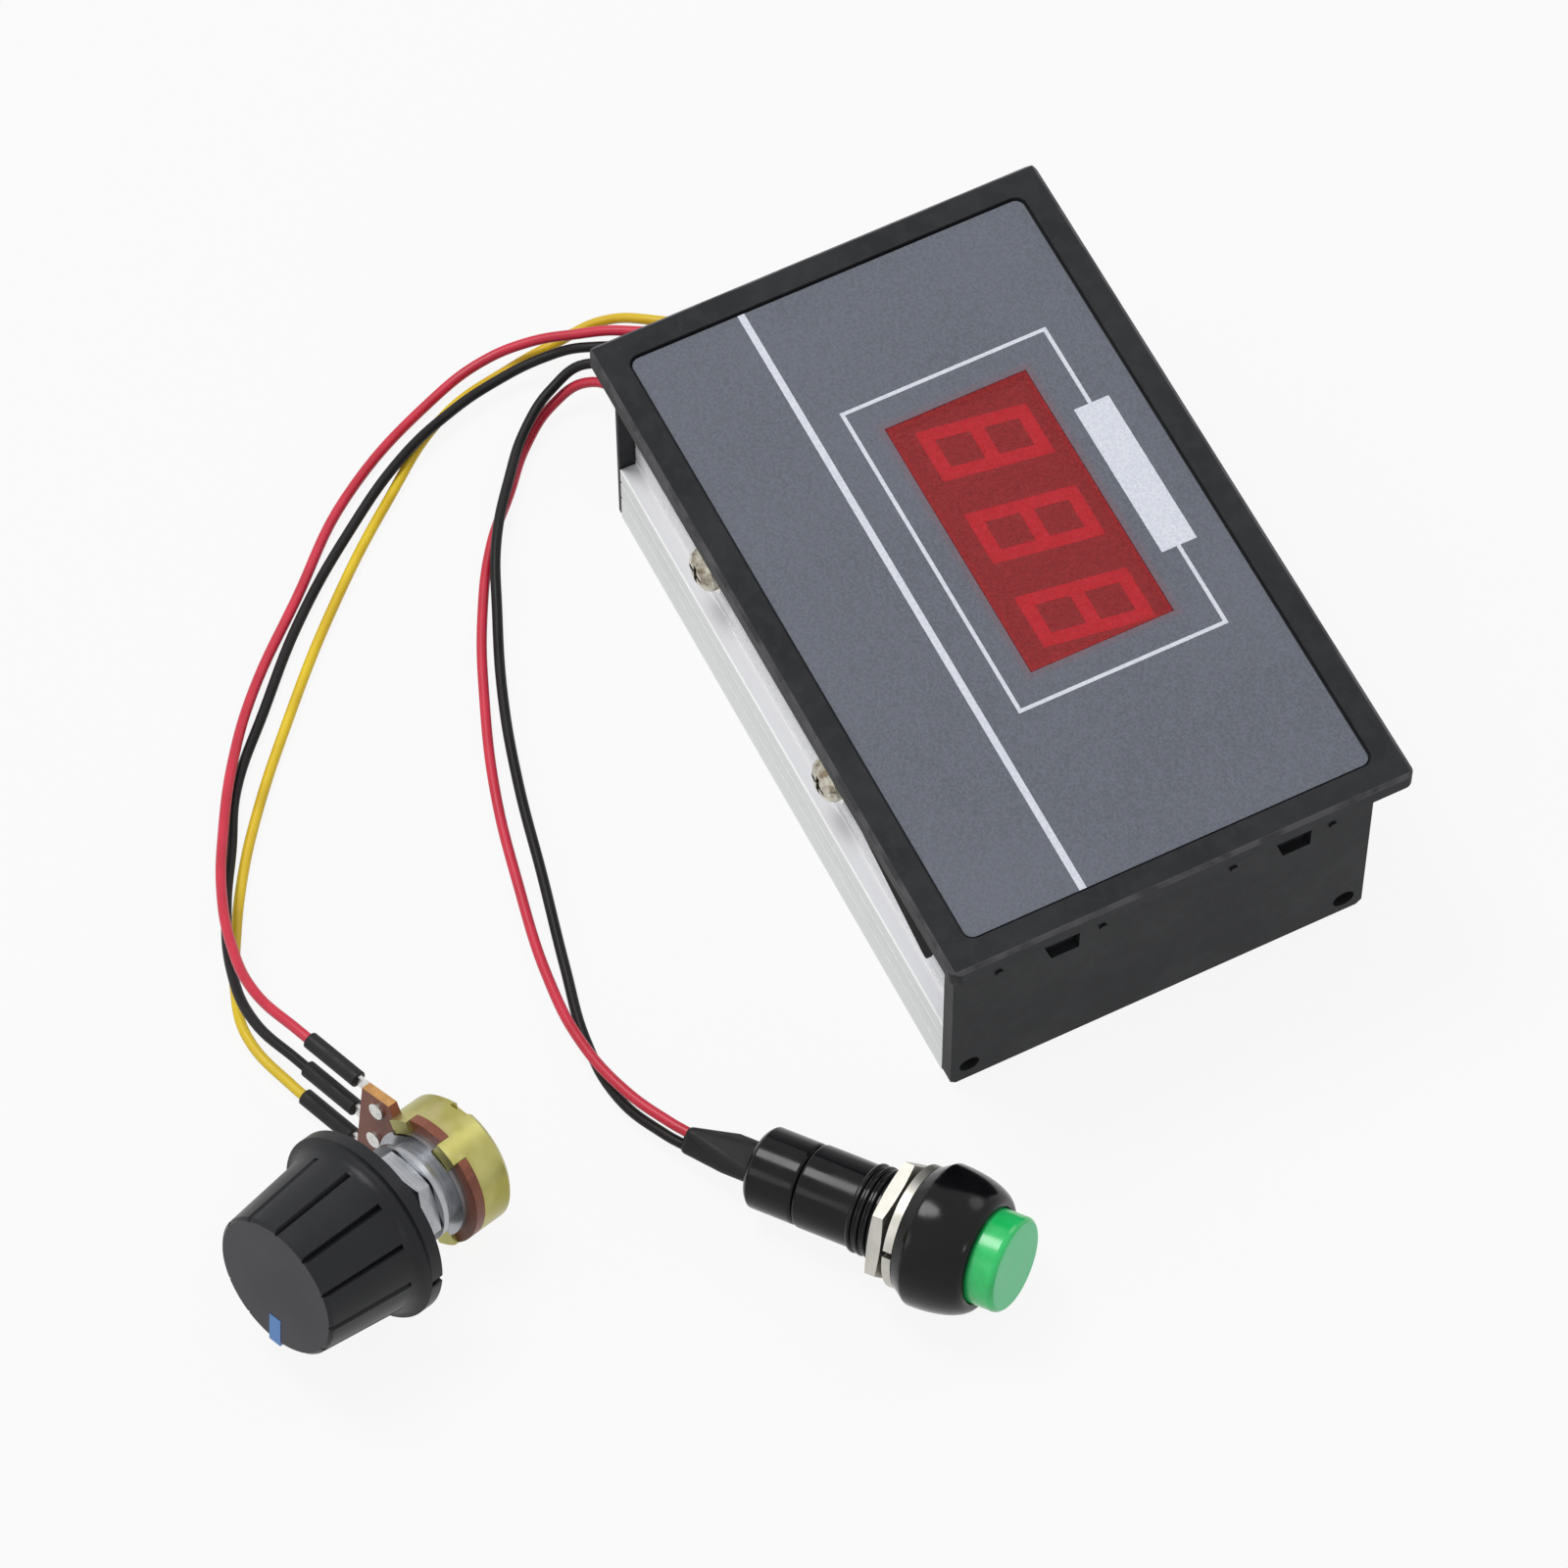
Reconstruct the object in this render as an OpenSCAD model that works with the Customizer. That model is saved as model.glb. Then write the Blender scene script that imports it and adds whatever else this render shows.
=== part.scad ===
// Motor speed controller for panel mounting: a moulded case with a printed film
// and a three-digit read-out in front, an aluminium heat sink along its lower
// side, and a dial and a push button on flying leads. Sizes are millimetres.
// The origin is on the base plane under the centre of the bezel. +X is the
// reading direction of the panel, +Y its top edge, and +Z points out of it.

/* [Bezel] */
// Width of the bezel
bezel_w = 95; // [94:0.5:104]
// Height of the bezel
bezel_h = 59.6; // [59:0.2:66]
// Thickness of the bezel flange
bezel_t = 2.5; // [2:0.1:3.2]
// Radius of the bezel's corners
bezel_r = 1.2; // [0.8:0.1:3]
// Width of the raised rim round the film
rim_w = 3.45; // [2.8:0.05:4]
// Depth of the film's bed below the rim
film_bed = 0.7; // [0.6:0.05:1]
// Thickness of the printed film
film_t = 0.4; // [0.2:0.05:0.5]

/* [Case] */
// Depth from the base to the front of the rim
case_depth = 33; // [32:0.5:40]
// Thickness of the panel behind the film
face_t = 2; // [1.6:0.1:2.4]
// Thickness of the case walls
wall_t = 2.2; // [1.8:0.1:2.4]
// Step from the bezel's side edges to the case
side_inset = 3.4; // [3:0.1:4]
// Step from the bezel's top edge to the case
top_inset = 3.1; // [2.6:0.1:3.4]
// Step from the bezel's lower edge to the heat sink
low_inset = 1.9; // [1.6:0.1:2.4]
// Thickness of the rear cover
cover_t = 1.6; // [1.4:0.1:1.8]

/* [Read-out] */
// Width of the window in the film
window_w = 37.3; // [36:0.1:38]
// Height of the window in the film
window_h = 18.7; // [17.5:0.1:19]
// Place of the window's centre along X
window_x = -3.05; // [-4:0.05:0]
// Place of the window's centre along Y
window_y = 6; // [5:0.05:6.5]
// Width of the three-digit module
module_w = 37.6; // [37.4:0.1:38.2]
// Height of the three-digit module
module_h = 19; // [18.6:0.1:19.4]
// Depth of the three-digit module
module_t = 8; // [7.4:0.1:8.4]
// Distance from digit to digit
digit_pitch = 12.7; // [12:0.1:12.7]
// Height of a digit
digit_h = 13.6; // [13:0.1:15]
// Width of a digit
digit_w = 7.6; // [7:0.1:8]
// Width of a segment
segment_w = 1.7; // [1.1:0.1:1.8]

/* [Heat sink] */
// Thickness of the heat sink's foot
sink_t = 4.6; // [4.2:0.1:5]
// Thickness of the heat sink's wall
sink_wall_t = 2.5; // [2.2:0.1:2.8]
// Height of the heat sink's foot
sink_foot_h = 9.9; // [8:0.1:10.2]
// Number of fine grooves in the wall
groove_count = 6; // [3:1:8]
// Width of a groove
groove_w = 0.5; // [0.3:0.05:0.7]
// Depth of a groove
groove_depth = 0.35; // [0.2:0.05:0.5]

/* [Power board] */
// Thickness of both circuit boards
board_t = 1.6; // [1.2:0.1:1.8]
// Gap between the cover and the power board
board_lift = 1.8; // [1.6:0.1:2.2]
// Width of a power device
device_w = 10.2; // [9.8:0.1:10.6]
// Height of a power device's body
device_h = 9.2; // [8.8:0.1:9.6]
// Thickness of a power device
device_t = 4.5; // [4.2:0.1:4.8]
// Diameter of the clamping screws
screw_d = 3; // [2.5:0.1:3.2]
// Diameter of a filter capacitor
cap_d = 10; // [8:0.5:10]
// Length of a filter capacitor
cap_len = 20; // [16:0.5:20]

/* [Connectors] */
// Pitch of the power terminals
terminal_pitch = 5.08; // [5:0.01:5.2]
// Number of power terminals
terminal_ways = 4; // [2:1:4]
// Height of the terminal block
terminal_h = 12; // [11:0.5:13]
// Pitch of the lead plugs
plug_pitch = 2.5; // [2.3:0.05:2.54]
// Diameter of a lead
lead_d = 1.3; // [1.1:0.05:1.35]

/* [Dial] */
// Diameter of the potentiometer's can
can_d = 16.6; // [16:0.1:17.4]
// Depth of the can
can_depth = 4.6; // [4.4:0.1:6]
// Diameter of the threaded bushing
bushing_d = 7; // [6.9:0.1:8]
// Diameter of the shaft
shaft_d = 6; // [5:0.1:6]
// Diameter of the knob's skirt
skirt_d = 23.8; // [22.6:0.1:26]
// Diameter of the knob's front face
knob_face_d = 18.1; // [17:0.1:19]
// Depth of the knob
knob_depth = 14.75; // [14:0.25:18]
// Number of grooves round the knob
knob_grooves = 12; // [6:1:18]

/* [Push button] */
// Diameter of the switch's rear cap
cap_end_d = 10; // [9.6:0.1:10]
// Diameter of the switch's thread
thread_d = 10.9; // [10.7:0.1:11.5]
// Largest diameter of the switch's head
head_d = 17.4; // [16.6:0.1:18.4]
// Length of the switch's head
head_len = 8.8; // [8.4:0.1:10]
// Diameter of the push button
button_d = 11.6; // [10.6:0.1:11.6]
// Height of the button above the head
button_out = 3.5; // [3.2:0.1:5]
// Travel of the button
button_travel = 2.5; // [2:0.1:2.6]

/* [Hidden] */
$fn = 48;
// Overrun of every cut past its face, and gaps between pieces
over = 0.1;
fit_gap = 0.15;
slide_gap = 0.1;
seat_gap = 0.05;
bore_gap = 0.04;

// Planes and walls of the case
flange_z = case_depth - bezel_t;
film_z = case_depth - film_bed;
face_z = film_z - face_t;
case_x = bezel_w / 2 - side_inset;
case_top = bezel_h / 2 - top_inset;
case_low = low_inset - bezel_h / 2;
in_x = case_x - wall_t;
in_top = case_top - wall_t;
cover_x = in_x - fit_gap;
film_w = bezel_w - 2 * rim_w;
film_h = bezel_h - 2 * rim_w;
film_r = 1.5;
film_gap = 0.35;
rim_edge = 0.4;
window_margin = 0.65;
window_margin_y = 0.75;
digits_x = 0.7;
digits_y = 0.5;

// Heat sink
sink_in = case_low + sink_t;
sink_out = sink_in - sink_wall_t;
sink_skin = 0.6;
lip_t = 0.8;
sink_top = flange_z - seat_gap;
sink_x = case_x - sink_skin - over;
foot_z = lip_t + sink_foot_h;
relief_start_share = 0.36;
relief_end_share = 0.91;
relief_h = 2.2;
ledge_h = 0.8;
foot_groove_shares = [0.35, 0.7];
pin_d = 2.4;
pin_len = 7;
pin_recess = 1;
pin_y = case_low + pin_d + seat_gap;
pin_z = 3.1;

// Boards
board_z = cover_t + board_lift;
deck_z = board_z + board_t;
board_gap = 0.4;
board_x = in_x - board_gap;
board_top = in_top - board_gap;
board_low = sink_in + board_gap;
lead_stub = 1;
pillar_d = 5;
small_screw_d = 2;
small_head_d = 3.8;
small_head_h = 1.5;
module_gap = 0.1;
display_z = film_z - module_gap - module_t;
display_inset = 7.9;
display_x = in_x - display_inset;
display_top = board_top - slide_gap;
display_low = board_low + display_inset - 2 * board_gap;
post_inset = 3.3;
post_x = display_x - post_inset;
post_top = display_top - post_inset;
post_low = display_low + post_inset;
cover_screw_inset = 3.5;
screw_row_x = in_x - display_inset + board_t;
cover_screws = [
    [screw_row_x, board_top - cover_screw_inset], [screw_row_x, board_low + cover_screw_inset],
    [-display_x + board_t, board_top - cover_screw_inset],
    [-display_x + pillar_d / 2, board_low + cover_screw_inset]
];

// Ears of the cover
ear_w = 3.2;
ear_h = 5;
ear_step = 1.2;
ear_drop = 1.8;
ear_low = in_top - ear_drop;
peg_d = 2.6;
peg_recess = 1;
peg_y = in_top + ear_step - ear_drop / 2 - peg_d / 4;
peg_z = 2.7;
hole_gap = 0.2;
base_chamfer = 1;

// Clip pockets and pips on the side walls
pocket_places = [-14.1, 16.1];
pocket_long = 5;
pocket_short = 3.6;
pocket_h = 4.4;
pocket_depth = 1.2;
pocket_drop = 5.9;
pip_places = [-22, -8.6, 8.4, 21.4];
pip_d = 1;
pip_h = 0.3;
pip_drop = 8;

// Power devices, clamped to the heat sink
transistor_x = -22.1;
diode_x = 10.2;
pad_t = 0.2;
tab_t = 1.3;
tab_h = 15.6;
tab_hole_z = 12.8;
tab_hole_d = 3.6;
device_edge = 0.8;
device_pins = [-2.54, 0, 2.54];
device_pin_w = 0.8;
device_pin_t = 0.5;
device_pin_y = 2.7;
device_y = sink_in + pad_t;
washer_d = 6.4;
washer_t = 0.6;
screw_head_d = 5.5;
screw_head_h = 1.8;
nut_af = 5.5;
nut_h = 2.4;
clamp_gap = 0.2;
regulator_x = 18;
regulator_drop = 12;
regulator_y = in_top - regulator_drop;
regulator_w = 6.6;
regulator_len = 6.1;
regulator_t = 2.3;
regulator_tab = 1.1;
regulator_leg = 2.6;

// Capacitors, lying along X
cap_x = -29;
cap_inset = 4;
cap_gap = 2;
cap_high = board_top - cap_inset - cap_d / 2;
cap_places = [cap_high, cap_high - cap_d - cap_gap];
cap_crimp = 0.5;
cap_bead_share = 0.86;
cap_lead_d = 0.8;
cap_lead_out = 2;
cap_lead_y = 2.5;

// Terminals and headers in the left wall
terminal_wall = 0.35;
terminal_w = terminal_ways * terminal_pitch + 2 * terminal_wall;
terminal_d = 9.1;
entry_w = 3.6;
entry_z = 3;
entry_depth = 7;
clamp_w = 3.4;
clamp_wall = 0.4;
clamp_len = 5;
tail_d = 1.2;
terminal_screw_z = 8.4;
terminal_screw_d = 3.6;
terminal_screw_len = 5.6;
terminal_screw_set = 1;
header_d = 8.6;
header_h = 6;
header_wall = 0.7;
header_floor = 1.5;
pot_ways = 3;
switch_ways = 2;
plug_side = 1.85;
wall_spare = in_top - sink_in - terminal_w - header_w(pot_ways) - header_w(switch_ways);
top_gap_share = 0.2;
plug_gap_share = 0.375;
switch_gap_share = 0.227;
terminal_y = in_top - top_gap_share * wall_spare - terminal_w / 2;
pot_plug_y = terminal_y - terminal_w / 2 - plug_gap_share * wall_spare - header_w(pot_ways) / 2;
switch_plug_y = pot_plug_y - header_w(pot_ways) / 2 - switch_gap_share * wall_spare
    - header_w(switch_ways) / 2;
plug_out = 2.2;
pin_w = 0.64;
plug_sink = 1;
bridge_x = 28;
bridge_y = 3;
bridge_ways = 7;
bridge_pitch = 2.54;

// Dial: it lies on its can and on the skirt of its knob
can_wall = 0.6;
wafer_t = 1.3;
wafer_turn = 5;
tab_out = 2.8;
wafer_tab = can_d / 2 + tab_out;
wafer_tab_w = 13;
base_t = 0.8;
base_inset = 1.4;
collar_d = 10.4;
collar_t = 1.7;
pot_washer_d = 12.5;
pot_washer_t = 0.7;
pot_nut_af = 10.6;
pot_nut_h = 2.2;
free_thread = 3.2;
skirt_gap = 0.5;
skirt_rim = 1.6;
wafer_z = can_depth;
base_z = wafer_z + wafer_t;
collar_z = base_z + base_t;
pot_washer_z = collar_z + collar_t;
pot_nut_z = pot_washer_z + pot_washer_t;
bushing_end = pot_nut_z + pot_nut_h + free_thread;
skirt_z = bushing_end + skirt_gap;
knob_end = skirt_z + knob_depth;
dial_x = 30.7;
dial_y = -84.15;
dial_turn = 18.5;
dial_tilt = atan((skirt_d - can_d) / 2 / skirt_z);
dial_z = can_d / 2 * cos(dial_tilt);
lug_pitch = 5;
lug_w = 1.4;
lug_t = 0.5;
lug_root = 0.9;
lug_end = 4.2;
rivet_r = can_d / 2 + seat_gap;
lug_in = rivet_r - lug_root;
lug_out = wafer_tab + lug_end;
lug_bare = 2;
sleeve_in = wafer_tab + lug_bare;
sleeve_len = 8.1;
sleeve_d = 2.1;

// Push button: it lies on its rear cap and on its head
cap_end_len = 6.6;
barrel_d = 10.2;
barrel_len = 7.4;
thread_len = 7.1;
thread_z = cap_end_len + barrel_len;
head_z = thread_z + thread_len;
head_belly = 1.8;
switch_x = 46;
switch_y = -53.4;
switch_turn = 125;
switch_tilt = atan((head_d - cap_end_d) / 2 / (head_z + head_belly));
switch_z = cap_end_d / 2 * cos(switch_tilt);
head_end = head_z + head_len;
switch_nut_af = 13.5;
switch_nut_h = 1.7;
switch_washer_d = 15;
switch_washer_t = 1.1;
switch_washer_gap = 0.7;
switch_washer_split = 0.8;
guide_d = 4;
guide_t = 3;
spring_d = 7.4;
spring_wire = 0.7;
spring_turns = 5;
well_d = 8.4;

// Routes of the leads, from plug to far end
route_pot_yellow = [
    [-45.3, -5.2, 8], [-50, -5.4, 7.9], [-56, -6.6, 7.3], [-64.5, -14, 5.6],
    [-68, -18.5, 3.6], [-69, -24.5, 1.4], [-68.5, -31, 0.8], [-66, -41, 0.8],
    [-57.5, -53, 0.8], [-46.5, -65.5, 0.8], [-35, -76.5, 0.8], [-24.5, -85.5, 0.8],
    [-17.5, -90.5, 0.8], [-10.5, -94.5, 0.9], [-4, -97.5, 1.2], [2.5, -98.9, 1.9],
    [11.53, -96.74, 2.32], [13.87, -95.9, 2.53]
];
route_pot_red = [
    [-45.3, -7.7, 8], [-50, -7.9, 8], [-56, -9.4, 7.9], [-63.5, -18, 7.2],
    [-66.5, -23, 5.7], [-69, -28, 4], [-70, -34, 2.4], [-68.5, -41.5, 1.1],
    [-60.5, -57, 0.8], [-50, -68.5, 0.8], [-40.5, -78.5, 1], [-32, -85, 2.2],
    [-22.5, -90.5, 3.8], [-15, -94, 5.3], [-7, -96.3, 7.2], [1.5, -97, 9.8],
    [9.96, -94.81, 12.01], [12.31, -93.97, 12.22]
];
route_pot_black = [
    [-45.3, -10.2, 8], [-50, -10.5, 7.9], [-56, -12.4, 7.2], [-64.5, -22.5, 5.2],
    [-66.5, -27, 3.4], [-66.5, -34.5, 2.4], [-65, -41, 2.3], [-62, -48.5, 2.2],
    [-55.5, -59, 1.2], [-47, -69.5, 0.8], [-37.5, -78.5, 0.8], [-29, -86, 0.9],
    [-21.5, -90, 1.6], [-14, -94, 2.6], [-5, -97.3, 4.2], [3, -98, 5.9],
    [10.74, -95.77, 7.16], [13.09, -94.94, 7.37]
];
route_switch_black = [
    [-45.3, -16.6, 8], [-50, -16.9, 7.9], [-55.5, -18.6, 7.3], [-61.8, -23.8, 6],
    [-61.5, -28.5, 4.2], [-58.5, -33.5, 3], [-53, -38.5, 2.4], [-46, -43.5, 2.1],
    [-37.5, -47.5, 1.2], [-26.5, -52, 0.8], [-15, -55.5, 0.8], [-2, -58.5, 0.8],
    [10.5, -61.5, 0.8], [20, -63.5, 0.8], [29, -63.6, 1.6], [36.5, -61.1, 3],
    [39.3, -59.5, 3.3]
];
route_switch_red = [
    [-45.3, -19.1, 8], [-49.5, -19.4, 7.7], [-54.5, -21, 6.6], [-60.3, -24.5, 4.4],
    [-60.5, -29, 2.2], [-57.5, -34, 0.9], [-52, -39, 0.8], [-46.5, -44, 0.8],
    [-37.5, -49.5, 0.8], [-27.5, -54, 0.8], [-15, -58.5, 0.8], [-2.5, -61.5, 0.8],
    [11, -64, 1.5], [21, -64.5, 2.8], [29.5, -63, 3.9], [36, -60.3, 4.6],
    [38.9, -58.7, 4.9]
];
lead_sides = 8;

// Plain shapes

module slab(x0, x1, y0, y1, z0, z1) {
    translate([x0, y0, z0]) cube([x1 - x0, y1 - y0, z1 - z0]);
}

module disc(d, z0, z1) {
    translate([0, 0, z0]) cylinder(d = d, h = z1 - z0);
}

module ring(d, bore, z0, z1) {
    difference() {
        disc(d, z0, z1);
        disc(bore, z0 - over, z1 + over);
    }
}

module hex(af, z0, z1) {
    translate([0, 0, z0]) cylinder(d = af / cos(30), h = z1 - z0, $fn = 6);
}

// Hexagon nut with its corners turned off on both faces
module nut(af, bore, z0, z1) {
    r = af / 2;
    c = 0.12 * (z1 - z0);
    rise = r / cos(30) - r;
    difference() {
        intersection() {
            hex(af, z0, z1);
            rotate_extrude() polygon([
                [0, z0], [r, z0], [r + 2 * rise, z0 + 2 * c], [r + 2 * rise, z1 - 2 * c], [r, z1],
                [0, z1]
            ]);
        }
        disc(bore + bore_gap, z0 - over, z1 + over);
    }
}

module x_rod(d, x0, x1, y, z) {
    translate([x0, y, z]) rotate([0, 90, 0]) cylinder(d = d, h = x1 - x0);
}

module both_sides() {
    children();
    mirror([1, 0, 0]) children();
}

module rounded_rect(w, h, r) {
    square([w - 2 * r, h], center = true);
    square([w, h - 2 * r], center = true);
    for (sx = [-1, 1], sy = [-1, 1])
        translate([sx * (w / 2 - r), sy * (h / 2 - r)]) circle(r = r);
}

// Rounded plate with a chamfer along its front edges
module chamfered_plate(w, h, r, z0, z1, c) {
    intersection() {
        translate([0, 0, z0]) linear_extrude(z1 - z0) rounded_rect(w, h, r);
        rotate([90, 0, 0]) linear_extrude(h, center = true) plate_section(w, z0, z1, c);
        rotate([90, 0, 90]) linear_extrude(w, center = true) plate_section(h, z0, z1, c);
    }
}

module plate_section(w, z0, z1, c) {
    polygon([
        [-w / 2, z0], [w / 2, z0], [w / 2, z1 - c], [w / 2 - c, z1], [c - w / 2, z1],
        [-w / 2, z1 - c]
    ]);
}

// Case

// The openings in the left wall: their lower and upper y, and their top
wall_openings = [
    [terminal_y - terminal_w / 2, terminal_y + terminal_w / 2, deck_z + terminal_h],
    [pot_plug_y - header_w(pot_ways) / 2, pot_plug_y + header_w(pot_ways) / 2, deck_z + header_h],
    [
        switch_plug_y - header_w(switch_ways) / 2, switch_plug_y + header_w(switch_ways) / 2,
        deck_z + header_h
    ]
];

function header_w(ways) = (ways - 1) * plug_pitch + 2 * plug_side;

// Cuts along the lower outer edges of the case
module base_chamfers() {
    for (y = [case_low, case_top]) translate([0, y, 0]) rotate([45, 0, 0])
        cube([2 * case_x + wall_t, base_chamfer, base_chamfer], center = true);
}

module pocket() {
    z1 = flange_z - pocket_drop;
    z0 = z1 - pocket_h;
    translate([case_x - pocket_depth, 0, 0]) rotate([90, 0, 90]) linear_extrude(wall_t)
        polygon([[0, z1], [pocket_long, z1], [pocket_long, z0], [pocket_long - pocket_short, z0]]);
}

module front_case() {
    color([0.16, 0.16, 0.17])
    difference() {
        union() {
            chamfered_plate(bezel_w, bezel_h, bezel_r, flange_z, case_depth, rim_edge);
            slab(-case_x, case_x, sink_in + over, case_top, face_z, flange_z + over);
            both_sides() {
                slab(in_x, case_x, case_low, case_top, 0, flange_z + over);
                for (y = pip_places)
                    x_rod(pip_d, case_x - over, case_x + pip_h, y, flange_z - pip_drop);
            }
            slab(-case_x, case_x, in_top, case_top, 0, flange_z + over);
            for (x = [-post_x, post_x], y = [post_low, post_top])
                translate([x, y, 0]) disc(pillar_d, display_z, face_z + over);
        }
        translate([0, 0, film_z]) linear_extrude(case_depth) rounded_rect(film_w, film_h, film_r);
        translate([window_x, window_y, face_z - over]) linear_extrude(case_depth) square(
            [window_w + 2 * window_margin, window_h + 2 * window_margin_y], center = true);
        base_chamfers();
        for (x = [-post_x, post_x], y = [post_low, post_top])
            translate([x, y, 0]) disc(small_screw_d + bore_gap, display_z - over, face_z);
        both_sides() {
            x_rod(pin_d + hole_gap, in_x - over, case_x + over, pin_y, pin_z);
            x_rod(peg_d + hole_gap, in_x - over, case_x + over, peg_y, peg_z);
            slab(in_x - ear_w - 2 * fit_gap, in_x + over, ear_low, in_top + ear_step, -over,
                ear_h + fit_gap);
            for (y = pocket_places) translate([0, y - pocket_long / 2, 0]) pocket();
        }
        slab(sink_skin - case_x, over - in_x, case_low - over, sink_in + over, -over, flange_z);
        for (w = wall_openings)
            slab(-case_x - over, over - in_x, w[0] - fit_gap, w[1] + fit_gap, -over, w[2] + fit_gap);
    }
}

module rear_cover() {
    color([0.14, 0.14, 0.15])
    difference() {
        union() {
            slab(-cover_x, cover_x, sink_in, in_top - fit_gap, 0, cover_t);
            slab(-cover_x, cover_x, case_low, sink_in + over, 0, lip_t);
            both_sides() {
                slab(cover_x - ear_w, cover_x, ear_low + fit_gap, in_top + ear_step - fit_gap, 0, ear_h);
                x_rod(peg_d, cover_x - over, case_x - peg_recess, peg_y, peg_z);
            }
            for (w = wall_openings) slab(-case_x, over - cover_x, w[0], w[1], 0, deck_z - hole_gap);
            for (p = cover_screws) translate([p[0], p[1], 0]) disc(pillar_d, cover_t - over, board_z);
        }
        for (p = cover_screws)
            translate([p[0], p[1], 0]) disc(small_screw_d + bore_gap, lip_t, board_z + over);
    }
}

module front_film() {
    color([0.42, 0.44, 0.48])
    difference() {
        translate([0, 0, film_z]) linear_extrude(film_t)
            rounded_rect(film_w - 2 * film_gap, film_h - 2 * film_gap, film_r - film_gap);
        translate([window_x, window_y, film_z - over]) linear_extrude(film_t + 2 * over)
            square([window_w, window_h], center = true);
    }
}

module display_filter() {
    color([0.6, 0.1, 0.12, 0.85])
    translate([window_x, window_y, film_z]) linear_extrude(film_t)
        square([window_w - fit_gap, window_h - fit_gap], center = true);
}

// Read-out and its board

module at_window() {
    translate([window_x, window_y, 0]) children();
}

// Outline of one digit's seven segments and its point, leaning to the right
module digit(grow) {
    half_w = digit_w / 2 - segment_w / 2;
    half_h = digit_h / 2 - segment_w / 2;
    lean_share = 0.16;
    multmatrix([[1, lean_share, 0, 0], [0, 1, 0, 0], [0, 0, 1, 0]]) {
        for (y = [-half_h, 0, half_h]) translate([0, y]) segment(2 * half_w, grow);
        for (x = [-half_w, half_w], y = [-half_h / 2, half_h / 2])
            translate([x, y]) rotate(90) segment(half_h, grow);
    }
    translate([digit_w / 2 + 0.3 * segment_w, segment_w / 2 - digit_h / 2])
        circle(d = segment_w + 2 * grow, $fn = 24);
}

// Segment with pointed ends and a small gap to its neighbours
module segment(len, grow) {
    e = len / 2 - 0.06 * segment_w + grow;
    h = segment_w / 2 - 0.03 * segment_w + grow;
    polygon([[-e, 0], [h - e, h], [e - h, h], [e, 0], [e - h, -h], [h - e, -h]]);
}

segment_depth = 0.4;

module at_digits() {
    for (i = [-1:1])
        translate([window_x + digits_x + i * digit_pitch, window_y + digits_y, display_z + module_t])
            translate([0, 0, -segment_depth]) children();
}

module display_segments() {
    color([0.8, 0.15, 0.2])
    at_digits() linear_extrude(segment_depth) digit(0);
}

module led_display() {
    pin_row = 0.4 * module_h;
    color([0.75, 0.73, 0.7])
    difference() {
        at_window()
            slab(-module_w / 2, module_w / 2, -module_h / 2, module_h / 2, display_z, display_z + module_t);
        at_digits() linear_extrude(segment_depth + over) digit(0.5 * bore_gap);
    }
    at_window() module_pins(pin_row, 0);
}

module module_pins(row, grow) {
    for (sy = [-1, 1], i = [-2.5:2.5])
        translate([i * bridge_pitch, sy * row, 0])
            disc(pin_w + 2 * grow, display_z - board_t - lead_stub - grow, display_z + over);
}

module display_board() {
    color([0.1, 0.35, 0.2])
    difference() {
        slab(-display_x, display_x, display_low, display_top, display_z - board_t, display_z);
        for (x = [-post_x, post_x], y = [post_low, post_top]) translate([x, y, 0])
            disc(small_screw_d + hole_gap, display_z - board_t - over, display_z + over);
        at_window() module_pins(0.4 * module_h, bore_gap);
        bridge_pins(bore_gap);
    }
}

chip_x = -5;
chip_inset = 8;
chip_w = 12.8;
chip_h = 7.5;
chip_t = 2.4;
chip_legs = 10;
chip_pitch = 1.27;
leg_w = 0.4;
leg_out = 1.4;
leg_t = 0.25;

module microcontroller() {
    top = display_z - board_t;
    color([0.12, 0.12, 0.13])
    translate([chip_x, display_low + chip_inset, 0]) {
        slab(-chip_w / 2, chip_w / 2, -chip_h / 2, chip_h / 2, top - chip_t, top - leg_t / 2);
        for (i = [0:chip_legs - 1]) translate([(i - (chip_legs - 1) / 2) * chip_pitch, 0, 0])
            slab(-leg_w / 2, leg_w / 2, -chip_h / 2 - leg_out, chip_h / 2 + leg_out, top - leg_t, top);
    }
}

// Power board and what stands on it

module board_header() {
    len = bridge_ways * bridge_pitch;
    color([0.1, 0.1, 0.1]) {
        translate([bridge_x, bridge_y, 0])
            slab(-bridge_pitch / 2, bridge_pitch / 2, -len / 2, len / 2, deck_z, deck_z + bridge_pitch);
        bridge_pins(0);
    }
}

module bridge_pins(grow) {
    for (i = [0:bridge_ways - 1])
        translate([bridge_x, bridge_y + (i - (bridge_ways - 1) / 2) * bridge_pitch, 0])
            disc(pin_w + 2 * grow, board_z - lead_stub - grow, display_z + lead_stub + grow);
}

// Round-headed screw, its head's seat at z = 0 and its shank upwards
module small_screw(len) {
    difference() {
        union() {
            rotate_extrude() polygon([
                [0, -small_head_h], [0.3 * small_head_d, -small_head_h],
                [0.5 * small_head_d, -0.4 * small_head_h], [0.5 * small_head_d, 0], [0, 0]
            ]);
            disc(small_screw_d, -over, len);
        }
        for (a = [0, 90]) rotate([0, 0, a]) cross_slot(small_head_d, small_head_h);
    }
}

module cross_slot(d, h) {
    slab(-0.28 * d, 0.28 * d, -0.07 * d, 0.07 * d, -h - over, -0.5 * h);
}

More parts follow.
